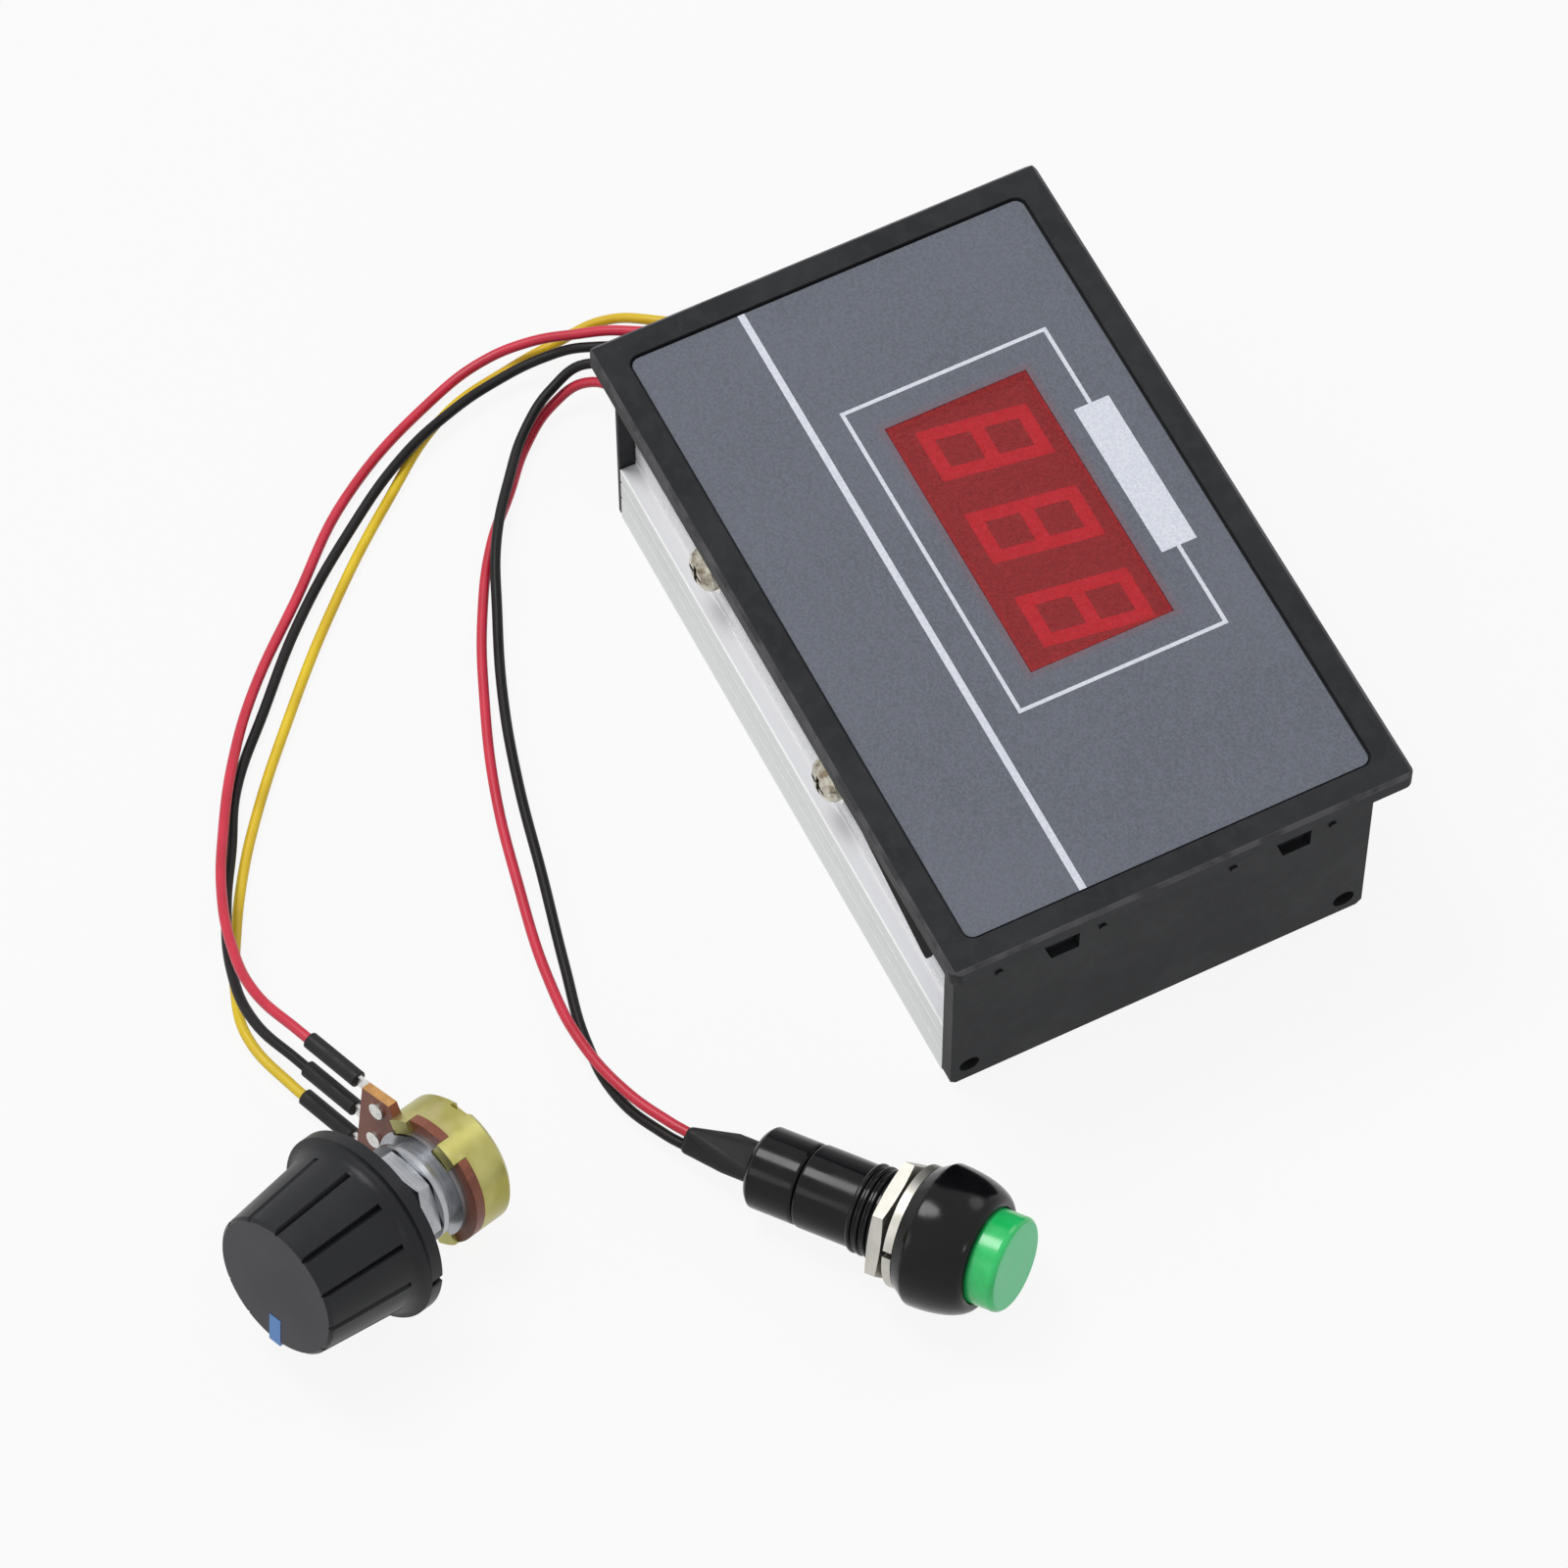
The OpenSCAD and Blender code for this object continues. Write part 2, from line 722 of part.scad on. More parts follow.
module board_screws() {
    color([0.7, 0.71, 0.72]) {
        for (p = cover_screws) translate([p[0], p[1], deck_z]) mirror([0, 0, 1])
            small_screw(deck_z - lip_t - hole_gap);
        for (x = [-post_x, post_x], y = [post_low, post_top])
            translate([x, y, display_z - board_t]) small_screw(face_z - display_z);
    }
}

module power_board() {
    color([0.1, 0.35, 0.2])
    difference() {
        slab(-board_x, board_x, board_low, board_top, board_z, deck_z);
        both_sides() slab(cover_x - ear_w - board_gap, in_x, ear_low - board_gap + fit_gap, case_top,
            board_z - over, deck_z + over);
        for (p = cover_screws)
            translate([p[0], p[1], 0]) disc(small_screw_d + hole_gap, board_z - over, deck_z + over);
        for (x = [transistor_x, diode_x]) translate([x, device_y, 0]) device_legs(bore_gap);
        cap_leads(bore_gap);
        terminal_tails(bore_gap);
        header_tails(pot_plug_y, pot_ways, bore_gap);
        header_tails(switch_plug_y, switch_ways, bore_gap);
        bridge_pins(bore_gap);
    }
}

// Power device with a tab: its back at y = 0, its body towards +Y
module power_device() {
    body_points = [
        [0, 0], [device_t, 0], [device_t, device_h - device_edge],
        [device_t - device_edge, device_h], [0, device_h]
    ];
    translate([0, 0, deck_z]) difference() {
        union() {
            translate([-device_w / 2, 0, 0]) rotate([90, 0, 90]) linear_extrude(device_w)
                polygon(body_points);
            rotate([90, 0, 0]) translate([0, 0, -tab_t]) linear_extrude(tab_t) polygon([
                [-device_w / 2, 0], [device_w / 2, 0], [device_w / 2, tab_h - device_edge],
                [device_w / 2 - device_edge, tab_h], [device_edge - device_w / 2, tab_h],
                [-device_w / 2, tab_h - device_edge]
            ]);
        }
        translate([0, 0, tab_hole_z]) rotate([-90, 0, 0]) disc(tab_hole_d, -over, tab_t + over);
    }
    device_legs(0);
}

module device_legs(grow) {
    for (x = device_pins)
        slab(x - device_pin_w / 2 - grow, x + device_pin_w / 2 + grow,
            device_pin_y - device_pin_t / 2 - grow, device_pin_y + device_pin_t / 2 + grow,
            board_z - lead_stub - grow, deck_z + over);
}

module power_transistor() {
    color([0.15, 0.15, 0.16]) translate([transistor_x, device_y, 0]) power_device();
}

module freewheel_diode() {
    color([0.15, 0.15, 0.16]) translate([diode_x, device_y, 0]) power_device();
}

// Flat regulator with its tab and legs on the deck
module voltage_regulator() {
    half = regulator_len / 2;
    color([0.15, 0.15, 0.16])
    translate([regulator_x, regulator_y, deck_z]) {
        slab(-regulator_w / 2, regulator_w / 2, -half, half, 0, regulator_t);
        slab(-0.4 * regulator_w, 0.4 * regulator_w, half - over, half + regulator_tab, 0, device_pin_t);
        for (s = [-1, 1])
            slab(s * 0.35 * regulator_w - device_pin_w / 2, s * 0.35 * regulator_w + device_pin_w / 2,
                -half - regulator_leg, over - half, 0, device_pin_t);
    }
}

module insulating_pads() {
    color([0.75, 0.75, 0.78])
    for (x = [transistor_x, diode_x]) difference() {
        slab(x - device_w / 2 - pad_t, x + device_w / 2 + pad_t, sink_in, device_y, deck_z + hole_gap,
            deck_z + tab_h + pad_t);
        translate([x, sink_in, deck_z + tab_hole_z]) rotate([-90, 0, 0])
            disc(screw_d + clamp_gap, -over, pad_t + over);
    }
}

// Places its children at both clamping screws, +Z into the case
module at_clamps() {
    for (x = [transistor_x, diode_x])
        translate([x, sink_out, deck_z + tab_hole_z]) rotate([-90, 0, 0]) children();
}

clamp_stack = sink_wall_t + pad_t + tab_t;

module heatsink() {
    wall_z = foot_z + ledge_h;
    groove_step = (sink_top - relief_h - wall_z) / groove_count;
    color([0.78, 0.79, 0.8])
    difference() {
        union() {
            slab(-sink_x, in_x, case_low, sink_in, lip_t, foot_z);
            slab(-sink_x, in_x, sink_out, sink_in, foot_z - over, sink_top);
        }
        for (i = [0:groove_count - 1])
            slab(-case_x, case_x, sink_out - over, sink_out + groove_depth,
                wall_z + i * groove_step, wall_z + i * groove_step + groove_w);
        for (share = foot_groove_shares) slab(-case_x, case_x, case_low - over,
            case_low + groove_depth, lip_t + share * sink_foot_h, lip_t + share * sink_foot_h + groove_w);
        translate([0, sink_in + over, 0]) rotate([90, 0, 0]) linear_extrude(sink_t) polygon([
            [relief_start_share * in_x, sink_top], [relief_end_share * in_x, sink_top - relief_h],
            [relief_end_share * in_x, sink_top + over], [relief_start_share * in_x, sink_top + over]
        ]);
        at_clamps() disc(screw_d + clamp_gap, -over, sink_t);
        both_sides() x_rod(pin_d + bore_gap, case_x - pin_len - over, case_x, pin_y, pin_z);
    }
}

module sink_pins() {
    color([0.2, 0.2, 0.21])
    both_sides() x_rod(pin_d, case_x - pin_len, case_x - pin_recess, pin_y, pin_z);
}

module heatsink_screws() {
    color([0.75, 0.75, 0.76])
    at_clamps() translate([0, 0, -washer_t]) difference() {
        union() {
            rotate_extrude() polygon([
                [0, -screw_head_h], [0.28 * screw_head_d, -screw_head_h],
                [0.43 * screw_head_d, -0.75 * screw_head_h], [0.5 * screw_head_d, -0.35 * screw_head_h],
                [0.5 * screw_head_d, 0], [0, 0]
            ]);
            disc(screw_d, -over, washer_t + clamp_stack + nut_h + 0.5 * washer_t);
        }
        for (a = [0, 90]) rotate([0, 0, a]) cross_slot(screw_head_d, screw_head_h);
    }
}

module screw_washers() {
    color([0.8, 0.8, 0.8]) at_clamps() ring(washer_d, screw_d + clamp_gap, -washer_t, 0);
}

module heatsink_nuts() {
    color([0.7, 0.7, 0.72])
    at_clamps() difference() {
        hex(nut_af, clamp_stack, clamp_stack + nut_h);
        disc(screw_d + bore_gap, clamp_stack - over, clamp_stack + nut_h + over);
    }
}

module filter_capacitors() {
    r = cap_d / 2;
    bead = cap_bead_share * cap_len;
    color([0.15, 0.16, 0.2]) {
        for (y = cap_places) translate([cap_x, y, deck_z + r]) rotate([0, 90, 0]) rotate_extrude()
            polygon([
                [0, 0], [r - cap_crimp, 0], [r, cap_crimp], [r, bead - cap_crimp], [r - cap_crimp, bead],
                [r, bead + cap_crimp], [r, cap_len - cap_crimp], [r - cap_crimp, cap_len], [0, cap_len]
            ]);
        cap_leads(0);
    }
}

module cap_leads(grow) {
    x1 = cap_x + cap_len + cap_lead_out;
    for (y = cap_places, s = [-1, 1]) {
        x_rod(cap_lead_d + 2 * grow, cap_x + cap_len - over, x1, y + s * cap_lead_y, deck_z + cap_d / 2);
        translate([x1, y + s * cap_lead_y, 0])
            disc(cap_lead_d + 2 * grow, board_z - lead_stub - grow, deck_z + cap_d / 2 + cap_lead_d / 2);
    }
}

// Terminals and lead headers

module at_terminals() {
    for (i = [0:terminal_ways - 1])
        translate([-case_x, terminal_y + (i - (terminal_ways - 1) / 2) * terminal_pitch, deck_z])
            children();
}

clamp_x = entry_depth - clamp_len - over;

module terminal_block() {
    w = terminal_w;
    color([0.1, 0.45, 0.25])
    difference() {
        translate([-case_x, terminal_y + w / 2, deck_z]) rotate([90, 0, 0]) linear_extrude(w) polygon([
            [0, 0], [terminal_d, 0], [terminal_d, 0.7 * terminal_h], [0.8 * terminal_d, terminal_h],
            [0, terminal_h]
        ]);
        at_terminals() {
            slab(-over, entry_depth, -entry_w / 2, entry_w / 2, entry_z - entry_w / 2,
                entry_z + entry_w / 2);
            x_rod(terminal_screw_d + hole_gap, -over, terminal_screw_set + terminal_screw_len, 0,
                terminal_screw_z);
        }
        terminal_tails(bore_gap);
    }
}

module terminal_tails(grow) {
    at_terminals() translate([clamp_x + clamp_len / 2, 0, 0])
        disc(tail_d + 2 * grow, -board_t - lead_stub - grow, entry_z - entry_w / 2 + over);
}

module terminal_clamps() {
    half = clamp_w / 2;
    color([0.75, 0.7, 0.5]) {
        at_terminals() difference() {
            slab(clamp_x, clamp_x + clamp_len, -half, half, entry_z - half, entry_z + half);
            slab(clamp_x - over, clamp_x + clamp_len + over, clamp_wall - half, half - clamp_wall,
                entry_z - half + clamp_wall, entry_z + half - clamp_wall);
        }
        at_terminals() translate([clamp_x + clamp_len / 2, 0, 0])
            disc(tail_d, -board_t - lead_stub, entry_z - half + 0.5 * clamp_wall);
    }
}

module terminal_screws() {
    color([0.78, 0.78, 0.78])
    at_terminals() difference() {
        x_rod(terminal_screw_d, terminal_screw_set, terminal_screw_set + terminal_screw_len, 0,
            terminal_screw_z);
        slab(terminal_screw_set - over, terminal_screw_set + 0.3 * terminal_screw_d,
            -0.1 * terminal_screw_d, 0.1 * terminal_screw_d, terminal_screw_z - terminal_screw_d,
            terminal_screw_z + terminal_screw_d);
    }
}

module header_tails(y, ways, grow) {
    for (i = [0:ways - 1]) translate([0, y + (i - (ways - 1) / 2) * plug_pitch, 0])
        translate([header_d - case_x - header_floor / 2, 0, 0])
            disc(pin_w + 2 * grow, board_z - lead_stub - grow, deck_z + over);
}

// Shrouded header, open to the left, with its contact pins
module lead_header(y, ways) {
    w = header_w(ways);
    inner = header_d - case_x - header_floor;
    mid = deck_z + header_h / 2;
    difference() {
        slab(-case_x, header_d - case_x, y - w / 2, y + w / 2, deck_z, deck_z + header_h);
        slab(-case_x - over, inner, y - w / 2 + header_wall, y + w / 2 - header_wall,
            deck_z + header_wall, deck_z + header_h - header_wall);
    }
    for (i = [0:ways - 1])
        x_rod(pin_w, inner - 4 * header_wall, inner + over, y + (i - (ways - 1) / 2) * plug_pitch, mid);
    header_tails(y, ways, 0);
}

// Plug that fills the header and holds the leads' ends
module lead_plug(y, ways) {
    half_w = header_w(ways) / 2 - header_wall - slide_gap;
    half_h = header_h / 2 - header_wall - slide_gap;
    inner = header_d - case_x - header_floor - slide_gap;
    outer = -case_x - plug_out;
    mid = deck_z + header_h / 2;
    difference() {
        union() {
            slab(outer, inner, y - half_w, y + half_w, mid - half_h, mid + half_h);
            slab(outer, -case_x - slide_gap, y - half_w - header_wall, y + half_w + header_wall,
                mid - half_h, mid + half_h);
        }
        for (i = [0:ways - 1]) translate([0, y + (i - (ways - 1) / 2) * plug_pitch, 0]) {
            x_rod(lead_d, outer - over, outer + plug_sink, 0, mid);
            x_rod(pin_w + hole_gap, inner - 4 * header_wall - slide_gap, inner + over, 0, mid);
            slab(-case_x + header_wall, inner - 5 * header_wall, -0.3 * plug_pitch, 0.3 * plug_pitch,
                mid + 0.6 * half_h, mid + half_h + over);
        }
    }
}

module pot_header() {
    color([0.92, 0.9, 0.84]) lead_header(pot_plug_y, pot_ways);
}

module switch_header() {
    color([0.92, 0.9, 0.84]) lead_header(switch_plug_y, switch_ways);
}

module pot_plug() {
    color([0.95, 0.94, 0.9]) lead_plug(pot_plug_y, pot_ways);
}

module switch_plug() {
    color([0.95, 0.94, 0.9]) lead_plug(switch_plug_y, switch_ways);
}

// Leads, swept along their routes

function unit(v) = v / norm(v);

function heading(route, i) = unit(
    (i == 0 ? [0, 0, 0] : unit(route[i] - route[i - 1]))
    + (i == len(route) - 1 ? [0, 0, 0] : unit(route[i + 1] - route[i])));

function lead_ring(route, i) =
    let (ahead = heading(route, i), side = unit(cross([0, 0, 1], ahead)), up = cross(ahead, side))
    [for (k = [0:lead_sides - 1]) let (a = 360 * (k + 0.5) / lead_sides)
        route[i] + lead_d / 2 * (cos(a) * side + sin(a) * up)];

module lead(route) {
    rings = len(route);
    n = lead_sides;
    points = [for (i = [0:rings - 1]) each lead_ring(route, i)];
    walls = [for (i = [0:rings - 2], k = [0:n - 1])
        let (a = i * n + k, b = i * n + (k + 1) % n)
        each [[a, a + n, b], [b, a + n, b + n]]];
    polyhedron(points, concat([[for (k = [0:n - 1]) k]], walls,
        [[for (k = [0:n - 1]) rings * n - 1 - k]]));
}

module lead_pot_yellow() {
    color([0.9, 0.78, 0.12]) lead(route_pot_yellow);
}

module lead_pot_red() {
    color([0.85, 0.2, 0.25]) lead(route_pot_red);
}

module lead_pot_black() {
    color([0.12, 0.12, 0.12]) lead(route_pot_black);
}

module lead_switch_black() {
    color([0.12, 0.12, 0.12]) lead(route_switch_black);
}

module lead_switch_red() {
    color([0.85, 0.2, 0.25]) lead(route_switch_red);
}

// Dial

module at_dial() {
    translate([dial_x, dial_y, dial_z]) rotate([90 - dial_tilt, 0, dial_turn]) children();
}

// The wafer with its lugs sits a little turned in the can
module at_wafer() {
    at_dial() rotate([0, 0, wafer_turn]) children();
}

module at_lugs() {
    for (i = [-1:1]) translate([0, i * lug_pitch, 0]) children();
}

lug_z = can_depth - lug_t / 2;

module pot_sleeves() {
    color([0.1, 0.1, 0.1])
    at_wafer() difference() {
        at_lugs() x_rod(sleeve_d, -sleeve_in - sleeve_len, -sleeve_in, 0, lug_z);
        at_lugs() x_rod(lead_d, -sleeve_in - sleeve_len - over, plug_sink - sleeve_in - sleeve_len,
            0, lug_z);
        at_lugs() lug_strip(0.5 * bore_gap);
    }
}

module lug_strip(grow) {
    slab(-lug_out - grow, -lug_in + grow, -lug_w / 2 - grow, lug_w / 2 + grow,
        lug_z - lug_t / 2 - grow, lug_z + lug_t / 2 + grow);
}

module pot_lugs() {
    color([0.82, 0.82, 0.8])
    at_wafer() at_lugs() {
        lug_strip(0);
        translate([-rivet_r, 0, 0]) {
            disc(0.8 * lug_w, can_depth - over, base_z + over);
            disc(1.5 * lug_w, base_z, base_z + rivet_h);
        }
    }
}

rivet_h = 0.4;
fold_angles = [73, 130, 253, 310];
fold_w = 3;
fold_reach = 1.2;
fold_r = can_d / 2 - can_wall - fold_reach;
fold_top = base_z + can_wall;

// Room for the strips of the can that are folded over the wafer, in from radius r
module fold_room(r, grow) {
    near = sqrt(r * r - fold_w * fold_w / 4);
    for (a = fold_angles) rotate([0, 0, a])
        slab(near - grow, can_d, -fold_w / 2 - grow, fold_w / 2 + grow, can_depth - over,
            collar_z + over);
}

module pot_can() {
    notch_w = 2.4;
    notch_angle = 98;
    r = can_d / 2;
    in_r = r - can_wall;
    color([0.8, 0.78, 0.5])
    at_dial() difference() {
        rotate_extrude() polygon([
            [0, 0], [in_r, 0], [r, can_wall], [r, fold_top], [fold_r, fold_top],
            [fold_r, fold_top - can_wall], [in_r, fold_top - can_wall], [in_r, can_wall],
            [0, can_wall]
        ]);
        difference() {
            disc(can_d + over, can_depth, fold_top + over);
            for (a = fold_angles) rotate([0, 0, a])
                slab(0, can_d, -fold_w / 2, fold_w / 2, can_depth - over, fold_top + 2 * over);
        }
        rotate([0, 0, notch_angle])
            slab(r - 2 * can_wall, r + over, -notch_w / 2, notch_w / 2, -over, notch_w / 2);
        rotate([0, 0, wafer_turn])
            slab(-can_d, 0, -lug_w, lug_w, lug_z - lug_t, can_depth + over);
    }
}

module pot_wafer() {
    color([0.55, 0.3, 0.2])
    at_wafer() difference() {
        translate([0, 0, wafer_z]) linear_extrude(wafer_t) {
            circle(d = can_d);
            polygon([
                [0, can_d / 2 - can_wall], [-wafer_tab, wafer_tab_w / 2], [-wafer_tab, -wafer_tab_w / 2],
                [0, can_wall - can_d / 2]
            ]);
        }
        disc(shaft_d + bushing_d / 2, wafer_z - over, base_z + over);
        rotate([0, 0, -wafer_turn]) fold_room(can_d / 2 - can_wall, bore_gap);
        at_lugs() translate([-rivet_r, 0, 0]) disc(0.8 * lug_w + bore_gap, wafer_z - over, base_z + over);
    }
}

module pot_bushing() {
    thread_step = 0.75;
    thread_cut = 0.3;
    base_d = can_d - 2 * base_inset;
    color([0.75, 0.75, 0.74])
    at_dial() difference() {
        union() {
            disc(base_d, base_z, collar_z);
            disc(collar_d, collar_z - over, pot_washer_z);
            disc(bushing_d, pot_washer_z - over, bushing_end);
        }
        fold_room(fold_r, bore_gap);
        disc(shaft_d + slide_gap, base_z - over, bushing_end + over);
        for (z = [pot_nut_z + pot_nut_h + thread_cut:thread_step:bushing_end - thread_cut])
            ring(bushing_d + thread_cut, bushing_d - 2 * thread_cut, z, z + thread_step / 2);
    }
}

module pot_washer() {
    color([0.78, 0.78, 0.78])
    at_dial() ring(pot_washer_d, bushing_d + bore_gap, pot_washer_z, pot_nut_z);
}

module pot_nut() {
    color([0.72, 0.72, 0.73])
    at_dial() nut(pot_nut_af, bushing_d, pot_nut_z, pot_nut_z + pot_nut_h);
}

shaft_start = 1;
knob_roof = 3.5;
shaft_end = knob_end - knob_roof;
wiper_z = 2.4;
wiper_t = 1.2;

module pot_shaft() {
    color([0.8, 0.8, 0.8])
    at_dial() difference() {
        disc(shaft_d, shaft_start, shaft_end);
        slab(-shaft_d, shaft_d, shaft_d / 4, shaft_d, bushing_end + hole_gap, shaft_end + over);
    }
}

module pot_wiper() {
    color([0.85, 0.85, 0.8])
    at_dial() ring(0.75 * can_d, shaft_d + 0.5 * bore_gap, wiper_z, wiper_z + wiper_t);
}

// Knob: a revolved skirt and body with grooves that follow the taper
skirt_r = skirt_d / 2;
face_r = knob_face_d / 2;
grip_slope = 1.25;
body_r = face_r + grip_slope;
flare_z = skirt_z + skirt_rim;
flare_h = 1.8;
flare_steps = 6;
knob_edge = 0.4;
knob_recess = 2.6;
knob_wall = 1.6;
hub_d = 9.6;
knob_groove_w = 1;
knob_groove_depth = 0.6;
groove_phase = 9;
notch_phase = 8;
grip_taper = atan((body_r - face_r) / (knob_end - flare_z - flare_h));

module knob() {
    flare_points = [for (i = [0:flare_steps]) let (a = 90 * i / flare_steps)
        [body_r + (skirt_r - body_r) * (1 - sin(a)), flare_z + flare_h * (1 - cos(a))]];
    color([0.13, 0.13, 0.14])
    at_dial() difference() {
        rotate_extrude($fn = 72) polygon(concat(
            [[0, skirt_z], [skirt_r, skirt_z]], flare_points,
            [[face_r, knob_end - knob_edge], [face_r - knob_edge, knob_end], [0, knob_end]]));
        for (i = [0:knob_grooves - 1]) rotate([0, 0, groove_phase + 360 / knob_grooves * i])
            translate([body_r, 0, flare_z + flare_h]) rotate([0, -grip_taper, 0])
                linear_extrude(knob_depth) polygon([
                    [-knob_groove_depth, 0], [over, -knob_groove_w / 2], [over, knob_groove_w / 2]
                ]);
        difference() {
            disc(2 * (body_r - knob_wall), skirt_z - over, skirt_z + knob_recess);
            disc(hub_d, skirt_z + knob_edge, skirt_z + knob_recess + over);
        }
        disc(shaft_d + bore_gap, skirt_z - over, shaft_end + hole_gap);
        rotate([0, 0, notch_phase]) slab(skirt_r - knob_edge, skirt_r + over, -knob_edge, knob_edge,
            skirt_z - over, flare_z);
        pointer_bar(bore_gap / 2);
    }
}

pointer_w = 1.8;
pointer_len = 4;
pointer_t = 0.5;
pointer_proud = 0.15;

module pointer_bar(grow) {
    rotate([0, 0, groove_phase]) slab(-pointer_w / 2 - grow, pointer_w / 2 + grow,
        -face_r - pointer_proud - grow, pointer_len - face_r + grow,
        knob_end - pointer_t - grow, knob_end + 0.5 * over);
}

module knob_pointer() {
    color([0.3, 0.55, 0.85]) at_dial() pointer_bar(0);
}

// Push button

module at_switch() {
    translate([switch_x, switch_y, switch_z]) rotate([90 - switch_tilt, 0, switch_turn]) children();
}

thread_pitch = 1;
thread_depth = 0.4;
washer_z = head_z - switch_washer_t;
nut_end = washer_z - switch_washer_gap;
nut_z = nut_end - switch_nut_h;
guide_z = head_z - guide_t;
lip_wall = 0.5;
neck_share = 0.5;
dome_steps = 9;
split_angle = 150;
spring_seat = 0.35;
barrel_bore = 7;
seam = 0.3;

module switch_rear_cap() {
    cap_wall = 1.2;
    color([0.1, 0.1, 0.11])
    at_switch() difference() {
        rotate_extrude() polygon([
            [0, 0], [cap_end_d / 2 - cap_wall / 2, 0], [cap_end_d / 2, cap_wall / 2],
            [cap_end_d / 2, cap_end_len - seam], [cap_end_d / 2 - seam, cap_end_len],
            [barrel_bore / 2, cap_end_len], [barrel_bore / 2, cap_wall], [0, cap_wall]
        ]);
        contact_blades(bore_gap);
    }
}

contact_w = 1.8;
contact_t = 0.5;
contact_x = 1.45;
contact_out = 4;
contact_bare = 0.7;
contact_rise = 2.1;
bridge_t = 0.6;
bridge_z = cap_end_len + contact_rise;
contact_top = bridge_z - button_travel - slide_gap;

module contact_blades(grow) {
    for (s = [-1, 1])
        slab(s * contact_x - contact_w / 2 - grow, s * contact_x + contact_w / 2 + grow,
            -contact_t / 2 - grow, contact_t / 2 + grow, -contact_out - grow, contact_top);
}

module switch_contacts() {
    color([0.85, 0.8, 0.6]) at_switch() contact_blades(0);
}

module switch_body() {
    r = thread_d / 2;
    lip_r = button_d / 2 + lip_wall;
    neck_r = lip_r + neck_share * (head_d / 2 - lip_r);
    dome_z = head_z + head_belly;
    dome = [for (i = [0:dome_steps]) let (a = 90 * i / dome_steps)
        [lip_r + (head_d / 2 - lip_r) * cos(a), dome_z + (head_end - dome_z) * sin(a)]];
    color([0.1, 0.1, 0.11])
    at_switch() difference() {
        rotate_extrude($fn = 72) polygon(concat(
            [[0, cap_end_len], [barrel_d / 2 - seam, cap_end_len], [barrel_d / 2, cap_end_len + seam],
                [barrel_d / 2, thread_z], [r, thread_z], [r, head_z], [neck_r, head_z]],
            dome, [[0, head_end]]));
        for (z = [thread_z + thread_pitch / 2:thread_pitch:nut_z - thread_pitch])
            ring(thread_d + thread_depth, thread_d - 2 * thread_depth, z, z + thread_pitch / 2);
        disc(barrel_bore, cap_end_len - over, guide_z);
        disc(guide_d + slide_gap, guide_z - over, head_z + over);
        disc(well_d + hole_gap, head_z, head_z + spring_seat + over);
        disc(button_d + 2 * slide_gap, head_z + spring_seat, head_end + over);
    }
}

module switch_nut() {
    color([0.8, 0.8, 0.8])
    at_switch() nut(switch_nut_af, thread_d, nut_z, nut_end);
}

module switch_washer() {
    color([0.86, 0.85, 0.82])
    at_switch() difference() {
        ring(switch_washer_d, thread_d + bore_gap, washer_z, head_z);
        rotate([0, 0, split_angle]) slab(0, switch_washer_d, -switch_washer_split / 2,
            switch_washer_split / 2, washer_z - over, head_z + over);
    }
}

button_in = head_z + button_travel + 4 * slide_gap;
button_end = head_end + button_out;
button_well = 4;
spring_room = button_in + button_well;

module button() {
    dome = 0.5;
    color([0.1, 0.75, 0.35])
    at_switch() difference() {
        union() {
            rotate_extrude() polygon([
                [0, button_in], [button_d / 2, button_in], [button_d / 2, button_end - dome],
                [button_d / 2 - dome, button_end], [0, button_end]
            ]);
            disc(guide_d, bridge_z, button_in + over);
        }
        ring(well_d, guide_d, button_in - over, spring_room);
    }
}

module contact_bridge() {
    color([0.85, 0.65, 0.35])
    at_switch() ring(0.9 * barrel_bore, guide_d + 0.5 * bore_gap, bridge_z, bridge_z + bridge_t);
}

// Coil spring round the stem, from the guide's front face into the button
module return_spring() {
    steps = 14;
    r = spring_d / 2 - spring_wire / 2;
    z0 = head_z + spring_wire / 2 + over;
    rise = spring_room - over - spring_wire / 2 - z0;
    turns = [for (i = [0:steps * spring_turns]) let (a = 360 * i / steps)
        [r * cos(a), r * sin(a), z0 + rise * i / (steps * spring_turns)]];
    color([0.7, 0.7, 0.7]) at_switch() spring_coil(turns);
}

module spring_coil(turns) {
    n = 6;
    count = len(turns);
    points = [for (p = turns) let (out = unit([p[0], p[1], 0])) each
        [for (k = [0:n - 1]) p + spring_wire / 2 * (cos(60 * k) * out + sin(60 * k) * [0, 0, 1])]];
    walls = [for (i = [0:count - 2], k = [0:n - 1])
        let (a = i * n + k, b = i * n + (k + 1) % n)
        each [[a, b, a + n], [b, b + n, a + n]]];
    polyhedron(points, concat([[for (k = [0:n - 1]) n - 1 - k]], walls,
        [[for (k = [0:n - 1]) (count - 1) * n + k]]));
}

sleeve_ends = [
    route_switch_black[len(route_switch_black) - 1], route_switch_red[len(route_switch_red) - 1]
];

// Shrunk sleeve from the rear cap to the ends of the two leads
module switch_sleeve() {
    wall = 0.3;
    color([0.1, 0.1, 0.1])
    difference() {
        hull() {
            at_switch() for (s = [-1, 1]) translate([s * contact_x, 0, 0])
                disc(contact_w + 2 * wall, -contact_out - over, -contact_bare, $fn = 24);
            for (p = sleeve_ends) translate(p) sphere(d = lead_d + 2 * wall, $fn = 16);
        }
        at_switch() contact_blades(bore_gap);
    }
}

